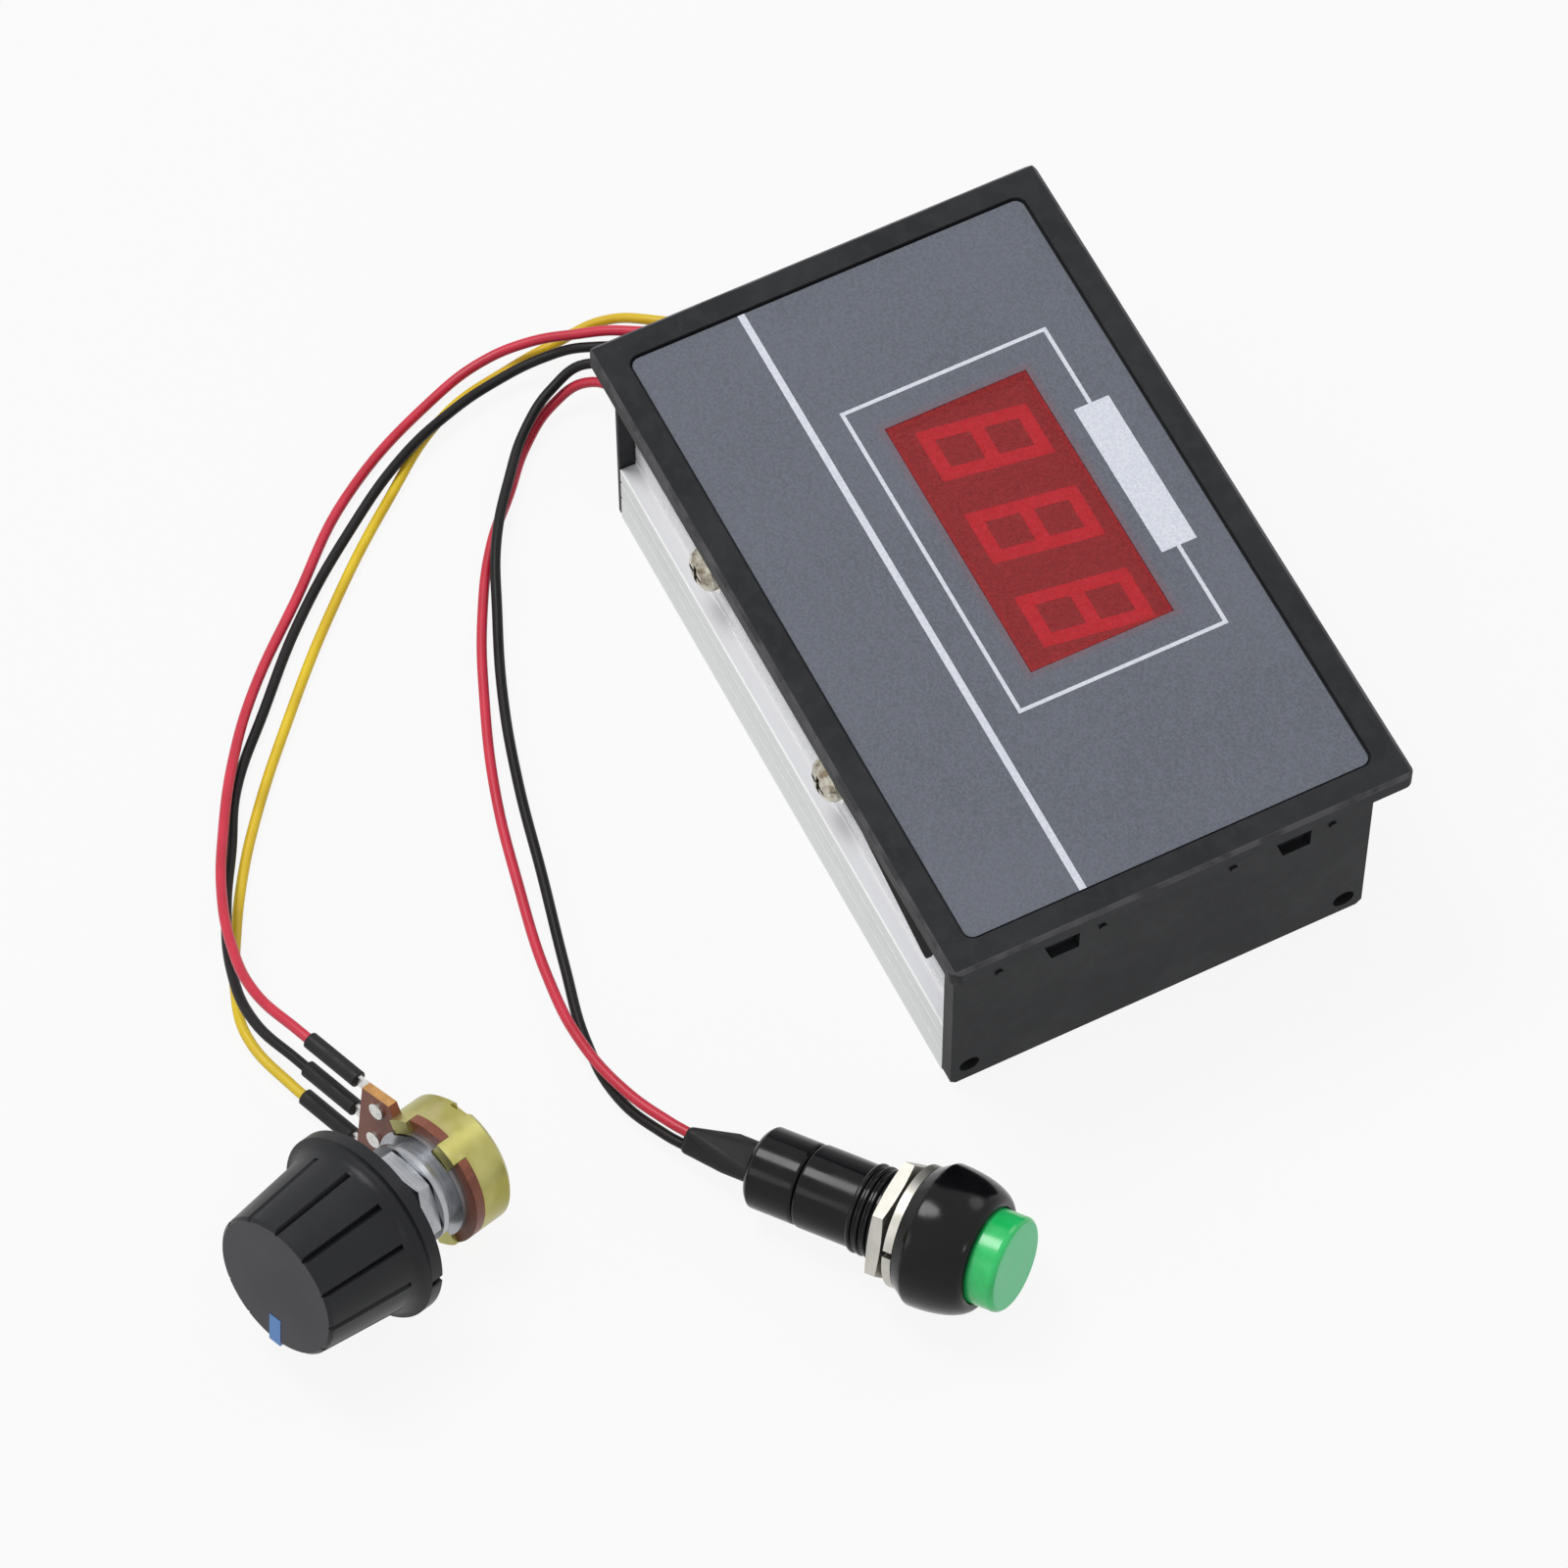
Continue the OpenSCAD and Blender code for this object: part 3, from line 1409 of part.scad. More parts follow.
front_case();
rear_cover();
front_film();
display_filter();
led_display();
display_segments();
display_board();
microcontroller();
power_board();
board_header();
board_screws();
heatsink();
sink_pins();
heatsink_screws();
screw_washers();
heatsink_nuts();
power_transistor();
freewheel_diode();
insulating_pads();
voltage_regulator();
filter_capacitors();
terminal_block();
terminal_screws();
terminal_clamps();
pot_header();
switch_header();
pot_plug();
switch_plug();
lead_pot_yellow();
lead_pot_red();
lead_pot_black();
lead_switch_black();
lead_switch_red();
pot_sleeves();
switch_sleeve();
pot_can();
pot_wafer();
pot_lugs();
pot_bushing();
pot_washer();
pot_nut();
pot_shaft();
pot_wiper();
knob();
knob_pointer();
switch_body();
switch_rear_cap();
switch_nut();
switch_washer();
switch_contacts();
contact_bridge();
return_spring();
button();
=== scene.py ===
import math

import bmesh
import bpy
from mathutils import Matrix, Quaternion, Vector


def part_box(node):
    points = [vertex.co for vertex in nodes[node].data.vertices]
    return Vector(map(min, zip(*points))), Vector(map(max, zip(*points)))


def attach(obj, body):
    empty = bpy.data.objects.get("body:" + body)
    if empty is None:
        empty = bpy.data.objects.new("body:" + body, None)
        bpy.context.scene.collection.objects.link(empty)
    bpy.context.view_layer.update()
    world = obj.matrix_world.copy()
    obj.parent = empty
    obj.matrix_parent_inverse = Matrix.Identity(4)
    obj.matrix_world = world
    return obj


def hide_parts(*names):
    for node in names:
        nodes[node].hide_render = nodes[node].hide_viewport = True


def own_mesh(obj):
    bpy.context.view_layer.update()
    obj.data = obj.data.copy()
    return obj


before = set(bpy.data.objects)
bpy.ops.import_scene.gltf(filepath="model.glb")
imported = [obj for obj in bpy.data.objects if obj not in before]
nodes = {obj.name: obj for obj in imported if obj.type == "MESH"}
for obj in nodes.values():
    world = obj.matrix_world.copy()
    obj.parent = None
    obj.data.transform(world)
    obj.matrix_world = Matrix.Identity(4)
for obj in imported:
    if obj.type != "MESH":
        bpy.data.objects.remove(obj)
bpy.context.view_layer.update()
MM = 0.001


def in_scene(name, data):
    """A new object at the origin for a mesh, curve, lamp or camera."""
    thing = bpy.data.objects.new(name, data)
    bpy.context.scene.collection.objects.link(thing)
    return thing


def turned_to(thing, place, back, roll=0.0):
    """Put a camera or lamp at its place, with its back along a direction."""
    thing.location = place
    thing.rotation_mode = "QUATERNION"
    thing.rotation_quaternion = back.to_track_quat("Z", "Y") @ Quaternion((0, 0, 1), roll)


# Camera, fitted to the corners of the bezel

CAMERA_PLACE = Vector((0.41259, -0.23103, 0.79427))
CAMERA_BACK = Vector((0.45023703, -0.22207759, 0.86485152))
CAMERA_ROLL = math.radians(-0.366)
CAMERA_LENS = 176.7
CAMERA_SENSOR = 36
CAMERA_NEAR = 0.01
CAMERA_FAR = 20


def set_camera():
    data = bpy.data.cameras.new("camera")
    data.lens = CAMERA_LENS
    data.sensor_width = CAMERA_SENSOR
    data.clip_start = CAMERA_NEAR
    data.clip_end = CAMERA_FAR
    camera = in_scene("camera", data)
    turned_to(camera, CAMERA_PLACE, CAMERA_BACK, CAMERA_ROLL)
    bpy.context.scene.camera = camera
    bpy.context.scene.view_settings.view_transform = "Standard"


set_camera()


# Shader maths

SCREEN_WHITE = 255
SRGB_KNEE = 0.04045
SRGB_SLOPE = 12.92
SRGB_LIFT = 0.055
SRGB_POWER = 2.4
NOISE_MARGIN = 0.3
WIDE_MARGIN = 0.25
MIX_FACTOR = 0
MIX_FIRST = 6
MIX_SECOND = 7
MIX_COLOUR = 2
BACKGROUND_RAYS = ("Is Camera Ray", "Is Glossy Ray", "Is Transmission Ray")
SURFACE_SOCKETS = {
    "colour": "Base Color",
    "metallic": "Metallic",
    "roughness": "Roughness",
    "gloss": "Specular IOR Level",
    "alpha": "Alpha",
    "glow": "Emission Color",
    "glow_strength": "Emission Strength",
    "normal": "Normal",
}


def linear(level):
    """One level of an 8-bit screen colour as the shader's linear one."""
    share = level / SCREEN_WHITE
    if share <= SRGB_KNEE:
        return share / SRGB_SLOPE
    return ((share + SRGB_LIFT) / (1 + SRGB_LIFT)) ** SRGB_POWER


def paint(red, green, blue):
    """An 8-bit screen colour as the shader's linear one."""
    return (linear(red), linear(green), linear(blue), 1.0)


class Field:
    """A value over the surface. Sums of fields and numbers become Math nodes."""

    def __init__(self, look, socket):
        self.look = look
        self.socket = socket

    def maths(self, operation, first, second=0.0):
        return self.look.field("ShaderNodeMath", {"operation": operation}, {0: first, 1: second})

    def __add__(self, other):
        return self.maths("ADD", self, other)

    def __radd__(self, other):
        return self.maths("ADD", other, self)

    def __sub__(self, other):
        return self.maths("SUBTRACT", self, other)

    def __rsub__(self, other):
        return self.maths("SUBTRACT", other, self)

    def __mul__(self, other):
        return self.maths("MULTIPLY", self, other)

    def __rmul__(self, other):
        return self.maths("MULTIPLY", other, self)

    def over(self, limit):
        return self.maths("GREATER_THAN", self, limit)

    def under(self, limit):
        return self.maths("LESS_THAN", self, limit)

    def size(self):
        return self.maths("ABSOLUTE", self)

    def most(self, other):
        return self.maths("MAXIMUM", self, other)

    def ramp(self, low, high, start=0.0, end=1.0):
        """The field carried from low..high to start..end, and held outside."""
        return self.look.field(
            "ShaderNodeMapRange",
            {"interpolation_type": "SMOOTHSTEP"},
            {0: self, 1: low, 2: high, 3: start, 4: end},
        )

    def spread(self, start=0.0, end=1.0, margin=NOISE_MARGIN):
        """A noise, which keeps near the middle of 0..1, carried to start..end."""
        return self.ramp(margin, 1 - margin, start, end)


class NodeTree:
    """The nodes of a material or of the world, all made by one method."""

    def __init__(self, owner):
        owner.use_nodes = True
        self.tree = owner.node_tree
        self.tree.nodes.clear()

    def node(self, kind, settings=None, sockets=None):
        """A node with its settings, and the values or links of its sockets."""
        made = self.tree.nodes.new(kind)
        for name, value in (settings or {}).items():
            setattr(made, name, value)
        for name, value in (sockets or {}).items():
            if isinstance(value, Field):
                self.tree.links.new(value.socket, made.inputs[name])
            else:
                made.inputs[name].default_value = value
        return made

    def field(self, kind, settings=None, sockets=None, output=0):
        """One output of such a node."""
        return Field(self, self.node(kind, settings, sockets).outputs[output])

    def background_seen(self):
        """1 for the camera, mirrors and glass, 0 for the light that falls on the object."""
        path = self.node("ShaderNodeLightPath")
        seen, mirrored, through = (Field(self, path.outputs[ray]) for ray in BACKGROUND_RAYS)
        return seen.most(mirrored).most(through)

    def mixed_shaders(self, factor, first, second):
        return self.field("ShaderNodeMixShader", None, {0: factor, 1: first, 2: second})


class Look(NodeTree):
    """One material, built up node by node."""

    def __init__(self, name):
        self.material = bpy.data.materials.new(name)
        super().__init__(self.material)
        self.place = self.field("ShaderNodeTexCoord", output="Object")

    def vector(self, operation, first, second, output="Vector"):
        return self.field(
            "ShaderNodeVectorMath", {"operation": operation}, {0: first, 1: second}, output
        )

    def axis(self, name):
        """The surface's place along X, Y or Z, in metres."""
        return self.field("ShaderNodeSeparateXYZ", None, {0: self.place}, name)

    def along(self, origin, axis):
        """How far the surface's place is from the origin along an axis."""
        from_origin = self.vector("SUBTRACT", self.place, origin)
        return self.vector("DOT_PRODUCT", from_origin, axis, "Value")

    def noise(self, scale, detail=2.0, roughness=0.5, stretch=None):
        """Noise with scale waves in a metre, times the stretch along each axis."""
        place = self.vector("MULTIPLY", self.place, stretch) if stretch else self.place
        return self.field(
            "ShaderNodeTexNoise",
            None,
            {"Vector": place, "Scale": scale, "Detail": detail, "Roughness": roughness},
        )

    def rings(self, distance, scale, detail=3.0):
        """Noise that varies with one distance only."""
        return self.field(
            "ShaderNodeTexNoise",
            {"noise_dimensions": "1D"},
            {"W": distance, "Scale": scale, "Detail": detail},
        )

    def cells(self, scale):
        return self.field("ShaderNodeTexVoronoi", None, {"Vector": self.place, "Scale": scale})

    def blend(self, factor, first, second):
        sockets = {MIX_FACTOR: factor, MIX_FIRST: first, MIX_SECOND: second}
        return self.field("ShaderNodeMix", {"data_type": "RGBA"}, sockets, MIX_COLOUR)

    def layer(self, tone, mask, colour, share=1.0):
        """A colour laid over the tone where the mask is 1, as strong as its share."""
        return self.blend(mask * share, tone, colour)

    def relief(self, height, strength, depth, under=None):
        """A bump of the given depth in metres, on top of another where one is given."""
        sockets = {"Height": height, "Strength": strength, "Distance": depth}
        if under:
            sockets["Normal"] = under
        return self.field("ShaderNodeBump", None, sockets)

    def finish(self, shader):
        self.node("ShaderNodeOutputMaterial", None, {"Surface": shader})
        return self.material

    def surface(self, **values):
        sockets = {SURFACE_SOCKETS[name]: value for name, value in values.items()}
        return self.finish(self.field("ShaderNodeBsdfPrincipled", None, sockets))


# Places that the materials follow

ORIGIN = (0.0, 0.0, 0.0)
CASE_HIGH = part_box("front_case")[1]
SINK_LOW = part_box("heatsink")[0]
RIM_EDGE = 0.4 * MM
RIM_FADE = 0.15 * MM
DIAL_AXIS = (0.308543, -0.922138, 0.233373)
DIAL_PLACE = (0.0307, -0.08415, 0.008071)
KNOB_FACE = 29.7 * MM
SWITCH_AXIS = (0.808665, 0.566233, 0.159504)
BUTTON_SKIN = 0.1 * MM
DIGIT_X = -2.35 * MM
DIGIT_Y = 6.5 * MM
DIGIT_PITCH = 12.7 * MM
DIGIT_HALF_W = 3.8 * MM
DIGIT_HALF_H = 6.8 * MM
DIGIT_STROKE = 1.7 * MM
DIGIT_LEAN = 0.16
HAZE_REACH = 1.4 * MM
BORDER_W = 1.2 * MM
# Where the foot's painted shade and the ledge's painted highlight lie
FOOT_DEPTH = 0.1 * MM
LEDGE_Z = 10.7 * MM
LEDGE_DEPTH = 0.6 * MM
LEDGE_LINE = 0.1 * MM
LEDGE_FADE = 0.3 * MM


def farthest(node, axis):
    """How far a solid reaches along an axis."""
    solid = nodes[node]
    return max(axis.dot(solid.matrix_world @ vertex.co) for vertex in solid.data.vertices)


BUTTON_FACE = farthest("button", Vector(SWITCH_AXIS)) - BUTTON_SKIN


def past_window(look):
    """Distance outside the edge of the red window, negative inside it."""
    low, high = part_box("display_filter")
    middle = (low + high) / 2
    half = (high - low) / 2
    beside = (look.axis("X") - middle.x).size() - half.x
    return beside.most((look.axis("Y") - middle.y).size() - half.y)


def digit_strokes(look):
    """1 on the strokes of the three digits, 0 elsewhere."""
    rise = look.axis("Y") - DIGIT_Y
    beside = look.axis("X") - DIGIT_X - rise * DIGIT_LEAN
    height = rise.size()
    cell_rows = height.over(DIGIT_STROKE / 2) * height.under(DIGIT_HALF_H - DIGIT_STROKE)
    strokes = None
    for place in (-DIGIT_PITCH, 0.0, DIGIT_PITCH):
        away = (beside - place).size()
        cells = away.under(DIGIT_HALF_W - DIGIT_STROKE) * cell_rows
        digit = away.under(DIGIT_HALF_W) * height.under(DIGIT_HALF_H) * (1.0 - cells)
        strokes = digit if strokes is None else strokes + digit
    return strokes


# Tones

WHITE = (1.0, 1.0, 1.0, 1.0)
CASE_DARK = paint(41, 42, 44)
CASE_LIGHT = paint(49, 50, 52)
CASE_BLOTCH = paint(62, 63, 66)
CASE_MARK = paint(76, 76, 80)
# Painted highlight for the outer edge of the rim
CASE_RIM_HIGHLIGHT = paint(98, 96, 100)
FILM_DARK = paint(88, 92, 102)
FILM_LIGHT = paint(106, 110, 121)
FILM_CLOUD = paint(112, 116, 127)
FILM_HAZE = paint(150, 60, 72)
INK_DARK = paint(206, 210, 222)
INK_LIGHT = paint(224, 227, 236)
WINDOW_DARK = paint(122, 22, 26)
WINDOW_LIGHT = paint(160, 38, 42)
WINDOW_BORDER = paint(176, 26, 32)
MODULE_DARK = paint(186, 44, 50)
MODULE_LIGHT = paint(208, 56, 62)
MODULE_STROKE = paint(232, 24, 48)
MODULE_UNLIT = paint(0, 0, 0)
SEGMENT_DARK = paint(228, 20, 44)
SEGMENT_LIGHT = paint(246, 34, 60)
SEGMENT_SIDE = paint(200, 50, 56)
# Painted glow beside the strokes of the segments
SEGMENT_SIDE_PAINTED_GLOW = paint(60, 8, 12)
ALUMINIUM_DARK = paint(226, 227, 230)
ALUMINIUM_LIGHT = paint(238, 238, 240)
# Painted shade tone for the foot's front face
FOOT_SHADE = paint(232, 235, 234)
DIE_LINE = paint(176, 178, 184)
SCUFF = paint(178, 180, 182)
# Painted highlight along the ledge's edge
LEDGE_HIGHLIGHT = paint(252, 252, 252)
TARNISH = paint(112, 92, 62)
PASSIVE_DARK = paint(158, 151, 76)
PASSIVE_LIGHT = paint(188, 183, 116)
PASSIVE_BLUSH = paint(206, 186, 166)
KNOB_DARK = paint(21, 22, 25)
KNOB_LIGHT = paint(29, 30, 33)
# Paler tone of the knob's end face
KNOB_PALE_FACE = paint(55, 53, 58)
SLEEVE_DARK = paint(22, 22, 24)
SLEEVE_LIGHT = paint(33, 33, 35)
GLOSS_DARK = paint(9, 9, 12)
GLOSS_LIGHT = paint(15, 15, 18)
BUTTON_DARK = paint(34, 196, 100)
BUTTON_LIGHT = paint(52, 214, 118)
BUTTON_PALE = paint(136, 232, 178)
BOARD_DARK = paint(20, 84, 46)
BOARD_LIGHT = paint(32, 108, 60)


# Materials

FILM_GRAIN = 3200.0
PATCH_SCALE = 90.0
PATCH_SHARE = 0.6
# Strength of the painted glow that brightens the unlit digits behind the window
PAINTED_DIGIT_GLOW = 0.42


def patched(look, patches, fine, dark, light):
    """Two close tones, mixed by broad patches and a fine grain."""
    return look.blend(patches.spread() * PATCH_SHARE + fine * (1 - PATCH_SHARE), dark, light)


def moulded(name, dark, light, grain, roughness, gloss=0.5):
    """Moulded plastic: two close tones, a fine grain and faint rubbed patches."""
    look = Look(name)
    patches = look.noise(PATCH_SCALE, detail=3.0)
    fine = look.noise(grain)
    return look.surface(
        colour=patched(look, patches, fine, dark, light),
        roughness=patches.spread(roughness - 0.06, roughness + 0.08, WIDE_MARGIN),
        gloss=gloss,
        normal=look.relief(fine, strength=0.6, depth=4e-6),
    )


def case_plastic():
    """Spark-eroded black moulding with fine rubbed marks and a painted highlight along the outer
    rim's edge, broken up by noise.
    """
    look = Look("case_plastic")
    grain = look.cells(2600.0)
    patches = look.noise(70.0, detail=4.0)
    rubbed = look.noise(900.0, detail=5.0, roughness=0.7, stretch=(0.25, 1.0, 1.0))
    marks = rubbed.ramp(low=0.62, high=0.75)
    # Painted highlight: a pale line along the outer edge of the rim, broken up by noise
    outward = (look.axis("X").size() - CASE_HIGH.x).most(look.axis("Y").size() - CASE_HIGH.y)
    rim = (outward + look.axis("Z") - CASE_HIGH.z).ramp(-RIM_EDGE - RIM_FADE, -RIM_EDGE)
    highlight_breakup = look.noise(260.0, detail=4.0)
    rim_highlight = rim * highlight_breakup.ramp(low=0.35, high=0.6, start=0.35)
    blotches = look.noise(420.0, detail=4.0, roughness=0.6)
    tone = look.blend(patches.spread(), CASE_DARK, CASE_LIGHT)
    tone = look.layer(tone, blotches.ramp(low=0.42, high=0.62), CASE_BLOTCH, share=0.25)
    tone = look.layer(tone, marks, CASE_MARK, share=0.3)
    # Lay the painted highlight on the rim's edge
    tone = look.layer(tone, rim_highlight, CASE_RIM_HIGHLIGHT, share=0.75)
    return look.surface(
        colour=tone,
        roughness=patches.spread(0.42, 0.54) + marks * 0.1 - rim_highlight * 0.08,
        gloss=0.08,
        normal=look.relief(grain, strength=0.5, depth=1.2e-5),
    )


def film_print():
    """Printed film: slate grey with a velvet grain and a red haze round the window."""
    look = Look("film_print")
    grain = look.noise(FILM_GRAIN, roughness=0.6)
    cloud = look.noise(45.0)
    near_window = past_window(look).ramp(0.0, HAZE_REACH, start=1.0, end=0.0)
    haze = near_window * grain.spread(0.12, 0.3)
    tone = look.blend(grain.spread(), FILM_DARK, FILM_LIGHT)
    tone = look.layer(tone, cloud.spread(), FILM_CLOUD, share=0.25)
    tone = look.layer(tone, haze, FILM_HAZE)
    return look.surface(
        colour=tone,
        roughness=grain.spread(0.44, 0.58),
        gloss=0.3,
        normal=look.relief(grain, strength=0.5, depth=1.5e-5),
    )


def white_ink():
    """Screen-printed white with the film's grain showing through."""
    look = Look("white_ink")
    grain = look.noise(FILM_GRAIN)
    return look.surface(
        colour=look.blend(grain.spread(), INK_DARK, INK_LIGHT),
        roughness=0.5,
        normal=look.relief(grain, strength=0.4, depth=1e-5),
    )


def window_red():
    """Smoked red window that lets the digits behind it show."""
    look = Look("window_red")
    grain = look.noise(FILM_GRAIN)
    border = past_window(look).ramp(-BORDER_W, 0.0)
    tone = look.blend(grain.spread(), WINDOW_DARK, WINDOW_LIGHT)
    tone = look.layer(tone, border, WINDOW_BORDER, share=0.6)
    return look.surface(
        colour=tone,
        roughness=grain.spread(0.38, 0.5),
        gloss=0.35,
        alpha=grain.spread(0.3, 0.46) + border * 0.2,
        normal=look.relief(grain, strength=0.4, depth=1e-5),
    )


def module_face():
    """Red face of the read-out, with the digits' joined strokes painted on it and a painted glow
    on the strokes.
    """
    look = Look("module_face")
    fine = look.noise(900.0, detail=3.0)
    strokes = digit_strokes(look)
    ground = look.blend(fine.spread(), MODULE_DARK, MODULE_LIGHT)
    return look.surface(
        colour=look.blend(strokes, ground, MODULE_STROKE),
        roughness=0.6,
        # Painted glow on the strokes of the unlit digits
        glow=look.blend(strokes, MODULE_UNLIT, MODULE_STROKE),
        glow_strength=PAINTED_DIGIT_GLOW,
        normal=look.relief(fine, strength=0.3, depth=1e-5),
    )


def segment_red():
    """Clear red segments, brighter on the strokes than beside them, with a painted glow that is
    stronger on the strokes.
    """
    look = Look("segment_red")
    fine = look.noise(1200.0)
    strokes = digit_strokes(look)
    lit = look.blend(fine.spread(), SEGMENT_DARK, SEGMENT_LIGHT)
    return look.surface(
        colour=look.blend(strokes, SEGMENT_SIDE, lit),
        roughness=0.35,
        # Painted glow, stronger on the strokes than beside them
        glow=look.blend(strokes, SEGMENT_SIDE_PAINTED_GLOW, lit),
        glow_strength=PAINTED_DIGIT_GLOW,
    )


def drawn_aluminium():
    """Extruded aluminium: die lines along the length over a satin ground, painted shade on the
    foot's front face and a painted highlight along the ledge's edge.
    """
    look = Look("drawn_aluminium")
    back = look.axis("Y") - SINK_LOW.y
    foot = back.under(FOOT_DEPTH)
    lines = look.noise(1.0, roughness=0.6, stretch=(0.4, 1100.0, 1100.0))
    drawn = lines.ramp(low=0.58, high=0.66) * (1.0 - foot * 0.85)
    broad = look.noise(1.0, stretch=(2.0, 300.0, 300.0))
    scuffs = look.noise(700.0, detail=5.0, roughness=0.7)
    # Painted highlight: a pale line along the ledge's front edge
    from_ledge = (look.axis("Z") - back - LEDGE_Z).size()
    ledge_highlight = from_ledge.ramp(LEDGE_LINE, LEDGE_FADE, start=1.0, end=0.0) * back.under(LEDGE_DEPTH)
    tone = look.blend(broad.spread(), ALUMINIUM_DARK, ALUMINIUM_LIGHT)
    # Painted shade on the foot's front face
    tone = look.layer(tone, foot, FOOT_SHADE, share=0.8)
    tone = look.layer(tone, drawn, DIE_LINE, share=0.5)
    tone = look.layer(tone, scuffs.ramp(low=0.66, high=0.74), SCUFF, share=0.25)
    # Lay the painted highlight on the ledge's edge
    tone = look.layer(tone, ledge_highlight, LEDGE_HIGHLIGHT)
    return look.surface(
        colour=tone,
        metallic=0.4,
        roughness=lines.spread(0.44, 0.56, WIDE_MARGIN),
        normal=look.relief(lines, strength=0.12, depth=4e-6),
    )


def plated(name, dark, light, roughness, stains=900.0, tarnish=0.0):
    """Plated metal with faint stains, fine scratches and brown tarnish where asked."""
    look = Look(name)
    stain = look.noise(stains, detail=4.0, roughness=0.6)
    brown = look.noise(1100.0, detail=3.0)
    scratch = look.noise(1.0, detail=3.0, roughness=0.7, stretch=(400.0, 6000.0, 3000.0))
    tone = look.blend(stain.spread(), dark, light)
    tone = look.layer(tone, brown.ramp(low=0.5, high=0.62), TARNISH, share=tarnish)
    return look.surface(
        colour=tone,
        metallic=1.0,
        roughness=scratch.spread(roughness - 0.06, roughness + 0.1),
        normal=look.relief(scratch, strength=0.3, depth=3e-6),
    )


def turned(name, dark, light, roughness, axis):
    """Lathe-turned and plated metal: fine rings across its axis, faint stains."""
    look = Look(name)
    rings = look.rings(look.along(ORIGIN, axis), scale=5000.0)
    stain = look.noise(320.0, detail=3.0)
    return look.surface(
        colour=look.blend(stain.spread() * 0.5 + rings * 0.5, dark, light),
        metallic=1.0,
        roughness=rings.spread(roughness - 0.05, roughness + 0.08),
        normal=look.relief(rings, strength=0.3, depth=6e-6),
    )


def passivated():
    """Yellow passivated steel: green-gold with cloudy pink and silver."""
    look = Look("passivated")
    cloud = look.noise(120.0, detail=3.0, roughness=0.6)
    blush = look.noise(130.0)
    fine = look.noise(3000.0)
    tone = look.blend(cloud.spread(), PASSIVE_DARK, PASSIVE_LIGHT)
    tone = look.layer(tone, blush.ramp(low=0.56, high=0.76), PASSIVE_BLUSH, share=0.6)
    return look.surface(
        colour=tone,
        metallic=0.85,
        roughness=cloud.spread(0.26, 0.38),
        normal=look.relief(fine, strength=0.3, depth=4e-6),
    )


def phenolic(name, dark, light, speckle):
    """Phenolic paper, speckled."""
    look = Look(name)
    speck = look.noise(1600.0, detail=3.0)
    cloud = look.noise(260.0)
    tone = look.blend(cloud.spread(), dark, light)
    tone = look.layer(tone, speck.ramp(low=0.55, high=0.7), speckle, share=0.4)
    return look.surface(
        colour=tone,
        roughness=0.42,
        normal=look.relief(speck, strength=0.3, depth=8e-6),
    )


def knob_plastic():
    """Satin black knob with a slightly paler end face."""
    look = Look("knob_black")
    patches = look.noise(PATCH_SCALE, detail=3.0)
    fine = look.noise(3200.0)
    face = look.along(DIAL_PLACE, DIAL_AXIS).over(KNOB_FACE)
    tone = patched(look, patches, fine, KNOB_DARK, KNOB_LIGHT)
    # A paler tone on the end face
    tone = look.layer(tone, face, KNOB_PALE_FACE, share=0.8)
    return look.surface(
        colour=tone,
        roughness=patches.spread(0.34, 0.46, WIDE_MARGIN),
        gloss=0.26,
        normal=look.relief(fine, strength=0.6, depth=6e-6),
    )


def insulation(name, dark, light, gloss=0.5):
    """Lead insulation: smooth soft plastic with slight waviness."""
    look = Look(name)
    wave = look.noise(160.0)
    fine = look.noise(2500.0)
    return look.surface(
        colour=look.blend(wave.spread(), dark, light),
        roughness=wave.spread(0.36, 0.46),
        gloss=gloss,
        normal=look.relief(fine, strength=0.2, depth=3e-6),
    )


def shrunk_sleeve():
    """Heat-shrunk sleeving, gently uneven over the joint inside."""
    look = Look("shrunk_sleeve")
    wave = look.noise(500.0, detail=3.0)
    fine = look.noise(4000.0)
    grain = look.relief(fine, strength=0.3, depth=5e-6)
    return look.surface(
        colour=look.blend(wave.spread(), SLEEVE_DARK, SLEEVE_LIGHT),
        roughness=wave.spread(0.42, 0.6),
        gloss=0.25,
        normal=look.relief(wave, strength=0.5, depth=6e-5, under=grain),
    )


def gloss_black():
    """Polished black moulding with faint swirl marks."""
    look = Look("gloss_black")
    haze = look.noise(240.0, detail=3.0)
    fine = look.noise(3000.0, detail=3.0, roughness=0.7)
    return look.surface(
        colour=look.blend(haze.spread(), GLOSS_DARK, GLOSS_LIGHT),
        roughness=haze.spread(0.12, 0.22),
        gloss=0.22,
        normal=look.relief(fine, strength=0.12, depth=3e-6),
    )


def button_green():
    """Glossy green cap with a duller, paler end face."""
    look = Look("button_green")
    haze = look.noise(300.0, detail=3.0)
    face = look.along(ORIGIN, SWITCH_AXIS).over(BUTTON_FACE)
    tone = look.blend(haze.spread(), BUTTON_DARK, BUTTON_LIGHT)
    tone = look.layer(tone, face, BUTTON_PALE, share=0.75)
    return look.surface(
        colour=tone,
        roughness=haze.spread(0.16, 0.26) + face * 0.3,
        normal=look.relief(haze, strength=0.15, depth=1e-5),
    )


def board_green():
    """Lacquered board with the shapes of its tracks under the lacquer."""
    look = Look("board_green")
    tracks = look.cells(420.0)
    return look.surface(
        colour=look.blend(tracks.ramp(low=0.2, high=0.5), BOARD_DARK, BOARD_LIGHT),
        roughness=0.35,
        normal=look.relief(tracks, strength=0.3, depth=2e-5),
    )


case_black = case_plastic()
cover_black = moulded(
    "cover_black", paint(38, 39, 41), paint(46, 47, 49), grain=2600.0, roughness=0.5, gloss=0.08
)
